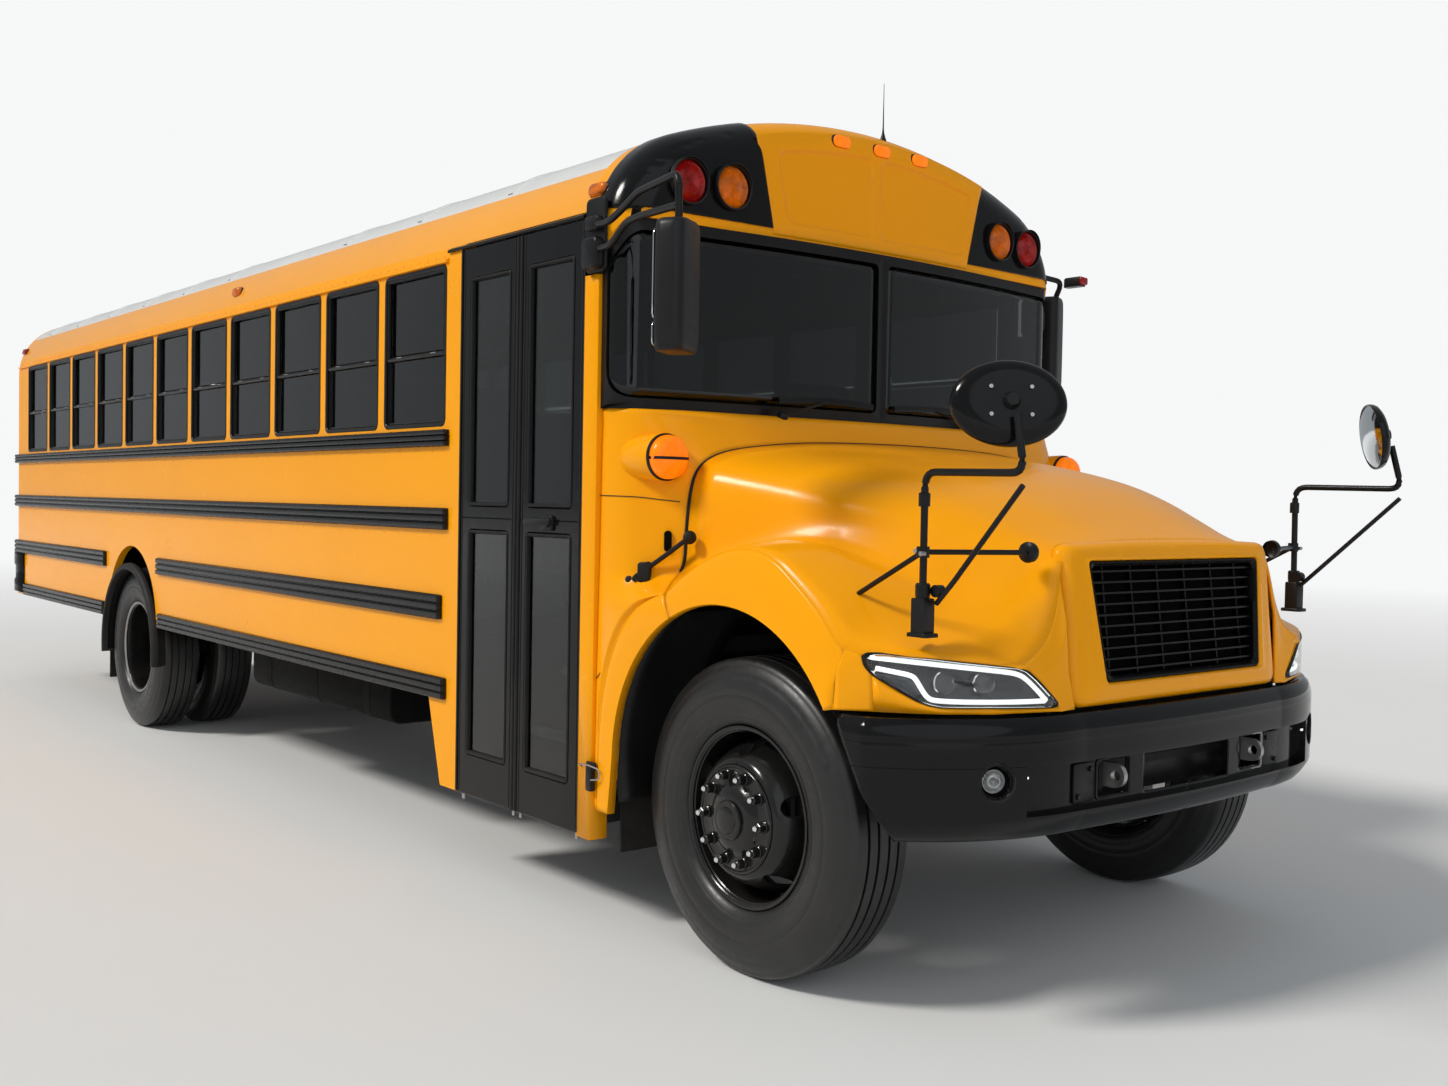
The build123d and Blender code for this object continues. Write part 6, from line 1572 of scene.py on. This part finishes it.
addPiece("stop_sign_plate", stopFace, "stopRed", "stop_sign", replaces="stop_arm", sharp=30)
addPiece("stop_sign_border", stopBorder, "stopWhite", "stop_sign", sharp=30)
addPiece("stop_sign_lamps", stopLamps, "redLens", "stop_sign", sharp=40)
addPiece("stop_arm_mount", [block((.108, .196, .012, 4), (-2.045, 1.2197, 1.601), "left", .025, .006),
                            pin(0, .205, .011, 16, (-2.025, 1.24, 1.4985), (0, 0, 1))], "satinBlack",
         replaces="stop_arm_base")

# rear end: gaskets of the door's panes, its handle and hinges, a bumper, small lamps and a blank plate
doorFace, wallFace = -9.136, -9.1325
rearSeals = []
for low, high in ((1.13, 1.64), (1.842, 2.42)):
    sealSteps = [(doorFace + back, (1 + grow / .34, 1 + grow / .29)) for back, grow in (
        (.004, .012), (-.004, .011), (-.006, .004), (-.005, -.008), (.004, -.012), (.012, -.012))]
    rearSeals.append(ringTube(roundedOutline(.68, high - low, .025), (0, (low + high) / 2), 0, sealSteps))
surroundSteps = [(wallFace + back, (1 + grow / .456, 1 + grow / .731)) for back, grow in (
    (.002, .012), (-.006, .011), (-.007, .003), (.002, .0015))]
addPiece("rear_door_surround", ringTube(roundedOutline(.912, 1.462, .03, 6), (0, 1.775), 0, surroundSteps),
         "blackRubber")
addPiece("rear_door_seals", rearSeals, "blackRubber", "rear_door")
addPiece("rear_door_hinges", [block((.1, .075, .008, 4), (doorFace, -.405, z), "rear", .005, .0015)
                              for z in (1.16, 1.74, 2.39)], "bodyYellow", "rear_door")
addPiece("rear_door_handle", [block((.07, .12, .015, 4), (doorFace, .385, 1.765), "rear", .012, .004),
    tube([(-9.148, .385, 1.785), (-9.17, .385, 1.785), (-9.172, .36, 1.785), (-9.172, .24, 1.775)], .009,
    .012), tube([(-9.142, .36, 1.335), (-9.165, .36, 1.345), (-9.165, .36, 1.475), (-9.142, .36, 1.485)],
    .008, .015)], "brightSteel", "rear_door", sharp=40)
rearBumper = {"face": -9.2148, "half": 1.155, "corner": .08}
barTurn = np.linspace(0, 1, 10)[1:] * 1.5708
barX = np.concatenate([np.full(24, rearBumper["face"]),
                       rearBumper["face"] + rearBumper["corner"] * (1 - np.cos(barTurn)), [-8.864]])
barY = np.concatenate([np.linspace(0, rearBumper["half"], 24),
                       rearBumper["half"] + rearBumper["corner"] * np.sin(barTurn), [1.2352]])
barLine = np.stack([barX, barY], 1)
barLine = np.concatenate([barLine[::-1] * (1, -1), barLine[1:]])
barSection = [(.03, 1.026), (.01, 1.03), (.0015, 1.026), (0, 1.012), (0, .935), (.01, .915), (.01, .82),
              (0, .8), (0, .723), (.0015, .709), (.01, .705), (.03, .709)]
barWay = unit(np.gradient(barLine, axis=0))
barNormal = np.stack([barWay[:, 1], -barWay[:, 0]], 1)
barNormal *= np.sign((barNormal * (barLine - (-8.0, 0))).sum(1))[:, None]
barGrid = np.stack([np.insert(barLine - barNormal * inset, 2, z, axis=1) for inset, z in barSection], 1)
addPiece("bumper_rear_shell", gridShape(barGrid), "glossBlack", replaces="bumper_rear", thick=.005)
addPiece("bumper_rear_beam", block((1.9, .22, .01, 3), (-9.186, 0, .865), "front", .054), "satinBlack",
         slot="chassis_black")
addPiece("reverse_lamps", [block((.16, .055, .02, 4), (-9.1335, side * 1.005, 1.075), "rear", .012, .004)
                           for side in (1, -1)], "paleLens")
addPiece("blank_plate", block((.33, .17, .01, 4), (-9.1335, .74, 1.22), "rear", .004, .001), "stopWhite",
    slot="steel")

# roof: pressed seams across it, the hatch and the antenna
hatchX, hatchClear = -3.7, .4
offset, rise = np.array([(-.022, -.0005), (-.018, .004), (.018, .004), (.022, -.0005)]).T[..., None]
roofY = np.concatenate([-np.linspace(1.1, 0, 40), np.linspace(0, 1.1, 40)[1:]])
seamShapes = [gridShape(spread(x + offset, roofY * (1 + rise * .4), roofHeight(roofY) + rise))
              for x in np.arange(-8.6, -.9, .785) if abs(x - hatchX) >= hatchClear]
addPiece("roof_seams", seamShapes, "roofPaint", sharp=30, loose=True)
lidLoop = roundedOutline(.72, .7, .06, 6)
lid = [(1.0, .0), (1.0, .022), (.985, .031), (.95, .0355), (.8, .036), (.78, .033), (.2, .033), (.0001, .033)]
lidGrid = rings(lidLoop, (hatchX, 0), 2, [(3.047 + height, grow) for grow, height in lid])
lidPoints, lidFaces = gridShape(lidGrid, closeV=True)
addPiece("hatch_lid", (lidPoints, lidFaces + [np.arange(len(lidLoop))[None]]), "roofWhite", "hatch",
         replaces="roof_hatch")
addPiece("hatch_rim", ringTube(roundedOutline(.66, .64, .02, 4), (hatchX, 0), 2, [
    (3.02, 1.05), (3.0465, 1.05), (3.0465, .985), (2.98, .985)]), "satinBlack", slot="black_rubber")
whip = [(0, .0001), (0, .0135), (.012, .0135), (.02, .01), (.04, .0045), (.06, .0028), (.15, .0017),
        (.239, .0011), (.2395, .0001)]
addPiece("antenna_whip", lathe(whip, 14, (-.615, .096, 3.0195), (0, 0, 1)), "satinBlack", replaces="antenna")
print("rear and roof made")


# a closed cushion: a rounded box whose faces are crowned
def cushionShape(size, corner, crown, cuts=(14, 12, 4)):
    lines = [np.linspace(-1, 1, n + 1) for n in cuts]
    half = np.asarray(size, float) / 2
    sides = []
    for axis in range(3):
        u, v = [k for k in range(3) if k != axis]
        for sign in (1, -1):
            gridU, gridV = np.meshgrid(lines[u], lines[v], indexing="ij")
            spot = np.zeros(gridU.shape + (3,))
            spot[..., axis], spot[..., u], spot[..., v] = sign, gridU, gridV
            spot = spot * half
            core = np.clip(spot, -(half - corner), half - corner)
            long = np.maximum(np.linalg.norm(spot - core, axis=-1, keepdims=True), 1e-9)
            surface = core + (spot - core) / long * np.minimum(corner, long)
            surface[..., axis] += sign * crown * (1 - gridU ** 2) * (1 - gridV ** 2)
            sides.append(gridShape(surface))
    return joinShapes(sides)


def inflated(shape, voxel, reach, pressure=4.0, frames=20):
    mesh = meshFrom("softWork", *shape)
    editor = bmesh.new()
    editor.from_mesh(mesh)
    bmesh.ops.remove_doubles(editor, verts=editor.verts, dist=1e-5)
    bmesh.ops.recalc_face_normals(editor, faces=editor.faces)
    editor.to_mesh(mesh)
    editor.free()
    work = bpy.data.objects.new("softWork", mesh)
    scene = bpy.context.scene
    scene.collection.objects.link(work)
    remesh = work.modifiers.new("even", "REMESH")
    remesh.mode, remesh.voxel_size = "VOXEL", voxel
    even = bpy.data.meshes.new_from_object(work.evaluated_get(bpy.context.evaluated_depsgraph_get()))
    work.modifiers.clear()
    work.data = even
    points = np.array([vertex.co[:] for vertex in even.vertices])
    cloth = work.modifiers.new("cloth", "CLOTH").settings
    cloth.use_pressure, cloth.uniform_pressure_force, cloth.quality = True, pressure, 5
    cloth.effector_weights.gravity = 0
    for step in range(1, frames + 1):
        scene.frame_set(step)
    result = work.evaluated_get(bpy.context.evaluated_depsgraph_get()).to_mesh()
    move = np.array([vertex.co[:] for vertex in result.vertices]) - points
    scene.frame_set(1)
    far = np.maximum(np.linalg.norm(move, axis=1, keepdims=True), 1e-9)
    points = points + move * np.minimum(1, reach / far)
    groups = {}
    for polygon in even.polygons:
        groups.setdefault(len(polygon.vertices), []).append(list(polygon.vertices))
    bpy.data.objects.remove(work)
    return points, [np.array(group) for group in groups.values()]


# cabin: padded benches, the driver's seat, the dash and the steering wheel
bench = {"first": -2.15, "pitch": .69, "count": 9, "y": .75, "seatUp": 1.441, "backUp": 1.785, "floor": 1.008,
         "railUp": 1.385}
seatPad = inflated(cushionShape((.385, .785, .072), .026, .004), .022, .01)
backPad = inflated(cushionShape((.062, .785, .6), .024, .003), .022, .008)
pads, stands, railUp = [], [], bench["railUp"]
for side in (1, -1):
    for start in (bench["first"] - bench["pitch"] * index for index in range(bench["count"])):
        pads += [moved(seatPad, (start - .2, side * bench["y"], bench["seatUp"])),
                 moved(backPad, (start - .435, side * bench["y"], bench["backUp"]))]
        for x in (start - .42 + .015, start - .06 + .015):
            foot = (x, side * .395, bench["floor"])
            stands += [tube([foot, (x, side * .395, railUp), (x, side * 1.13, railUp)], .013, .05, 8),
                       block((.08, .06, .008, 2), foot, "up", .004)]
        stands += [tube([(start - .425, side * y, railUp), (start - .03, side * y, railUp)], .011, .05, 8)
                   for y in (.4, 1.1)]
benchPiece = addPiece("bench_cushions", pads, "benchVinyl", replaces="bench_pads", sharp=60, loose=True)
addPiece("bench_stands", stands, "brightSteel", replaces="bench_frames", sharp=40)
driverPads = [moved(inflated(cushionShape((.47, .46, .105), .038, .008), .02, .012), (-1.405, .76, 1.47)),
              moved(inflated(cushionShape((.095, .46, .63), .036, .006), .02, .012), (-1.668, .76, 1.825))]
driverPiece = addPiece("driver_cushions", driverPads, "driverCloth", replaces="driver_seat", sharp=60,
                       loose=True)
addPiece("driver_seat_stand", [block((.3, .28, .02, 4), (-1.4, .76, 1.008), "up", .03, .004),
    block((.22, .2, .03, 4), (-1.4, .76, 1.038), "up", .34, .004),
    block((.44, .42, .03, 4), (-1.405, .76, 1.378), "up", .036, .006)], "satinBlack", slot="black_plastic")
dashProfile = np.array([(-.945, 1.505), (-.8, 1.503), (-.8, 1.012), (-.76, 1.012), (-.757, 1.795),
                        (-.8, 1.8), (-.88, 1.792), (-.925, 1.762), (-.947, 1.7), (-.95, 1.6)])
dashSteps = [(-.4, .985), (-.392, 1.0), (0.0, 1.0), (.55, 1.0), (.97, 1.0), (1.12, 1.0), (1.128, .985)]
dashMiddle = dashProfile.mean(0)
addPiece("dash_shell", [capped(rings(dashProfile - dashMiddle, dashMiddle, 1, dashSteps)),
                        tube([(-.86, .76, 1.659), (-1.01, .76, 1.79)], .033, .05, 16),
                        tube([(-.89, .7, 1.7), (-.95, .6, 1.76)], .007, .05, 8)], "blackPlastic",
         replaces="dashboard", sharp=40)
steering = {"centre": np.array((-1.035, .76, 1.812)), "radius": .225, "thick": .0145, "spoke": .222}
wheelNormal, wheelAcross = unit(np.array((-.16, 0, .14))), np.array((0.0, 1, 0))
wheelUp = np.cross(wheelNormal, wheelAcross)
ringWay = np.outer(np.cos(circle(64)), wheelAcross) + np.outer(np.sin(circle(64)), wheelUp)
ringReach = (steering["radius"] + steering["thick"] * np.cos(circle(12)))[None, :, None]
ringRise = (steering["thick"] * np.sin(circle(12)))[None, :, None]
ringGrid = steering["centre"] + ringWay[:, None] * ringReach + wheelNormal * ringRise
spokeWays = (wheelAcross, -wheelAcross, wheelUp * .5 + wheelAcross * .866, wheelUp * .5 - wheelAcross * .866)
wheelParts = [gridShape(ringGrid, closeU=True, closeV=True)]
wheelParts += [carried(ringProfile(.012, 10, .6), [steering["centre"],
    steering["centre"] + way * steering["spoke"]], up=wheelNormal) for way in spokeWays]
wheelParts.append(lathe([(-.014, .0001), (-.014, .05), (.01, .048), (.018, .035), (.02, .0001)], 32,
                        steering["centre"], wheelNormal))
addPiece("steering_wheel_rim", wheelParts, "satinBlack", slot="black_plastic", replaces="steering_wheel",
    sharp=45)

# fuel tank with straps, and the black liner of the rear arch; both are black, darkened further as painted
# shade for the dark under the body
tankLoop, tankPlace = roundedOutline(.506, .378, .06, 8), (-.875, .67)
tankSteps = [(-4.2, .93), (-4.192, .985), (-4.18, 1.0), (-2.52, 1.0), (-2.508, .985), (-2.5, .93)]
strapSteps = ((-.03, .998), (-.03, 1.006), (.03, 1.006), (.03, .998))
tankParts = [capped(rings(tankLoop, tankPlace, 0, tankSteps))]
tankParts += [gridShape(rings(tankLoop, tankPlace, 0, [(x + along, grow) for along, grow in strapSteps]),
    closeV=True) for x in (-3.95, -3.35, -2.75)]
addPiece("tank_shell", tankParts, "shadeDarkenedBlack", replaces="fuel_tank")
turn = np.radians(np.linspace(-6, 186, 60))[:, None]
addPiece("rear_arch_liners", [gridShape(spread(
    rearAxle + .5055 * np.cos(turn), side * np.array((1.145, 1.2215)), axleHeight + .5055 * np.sin(turn)))
    for side in (1, -1)], "shadeDarkenedBlack", thick=.002)
print("cabin made")
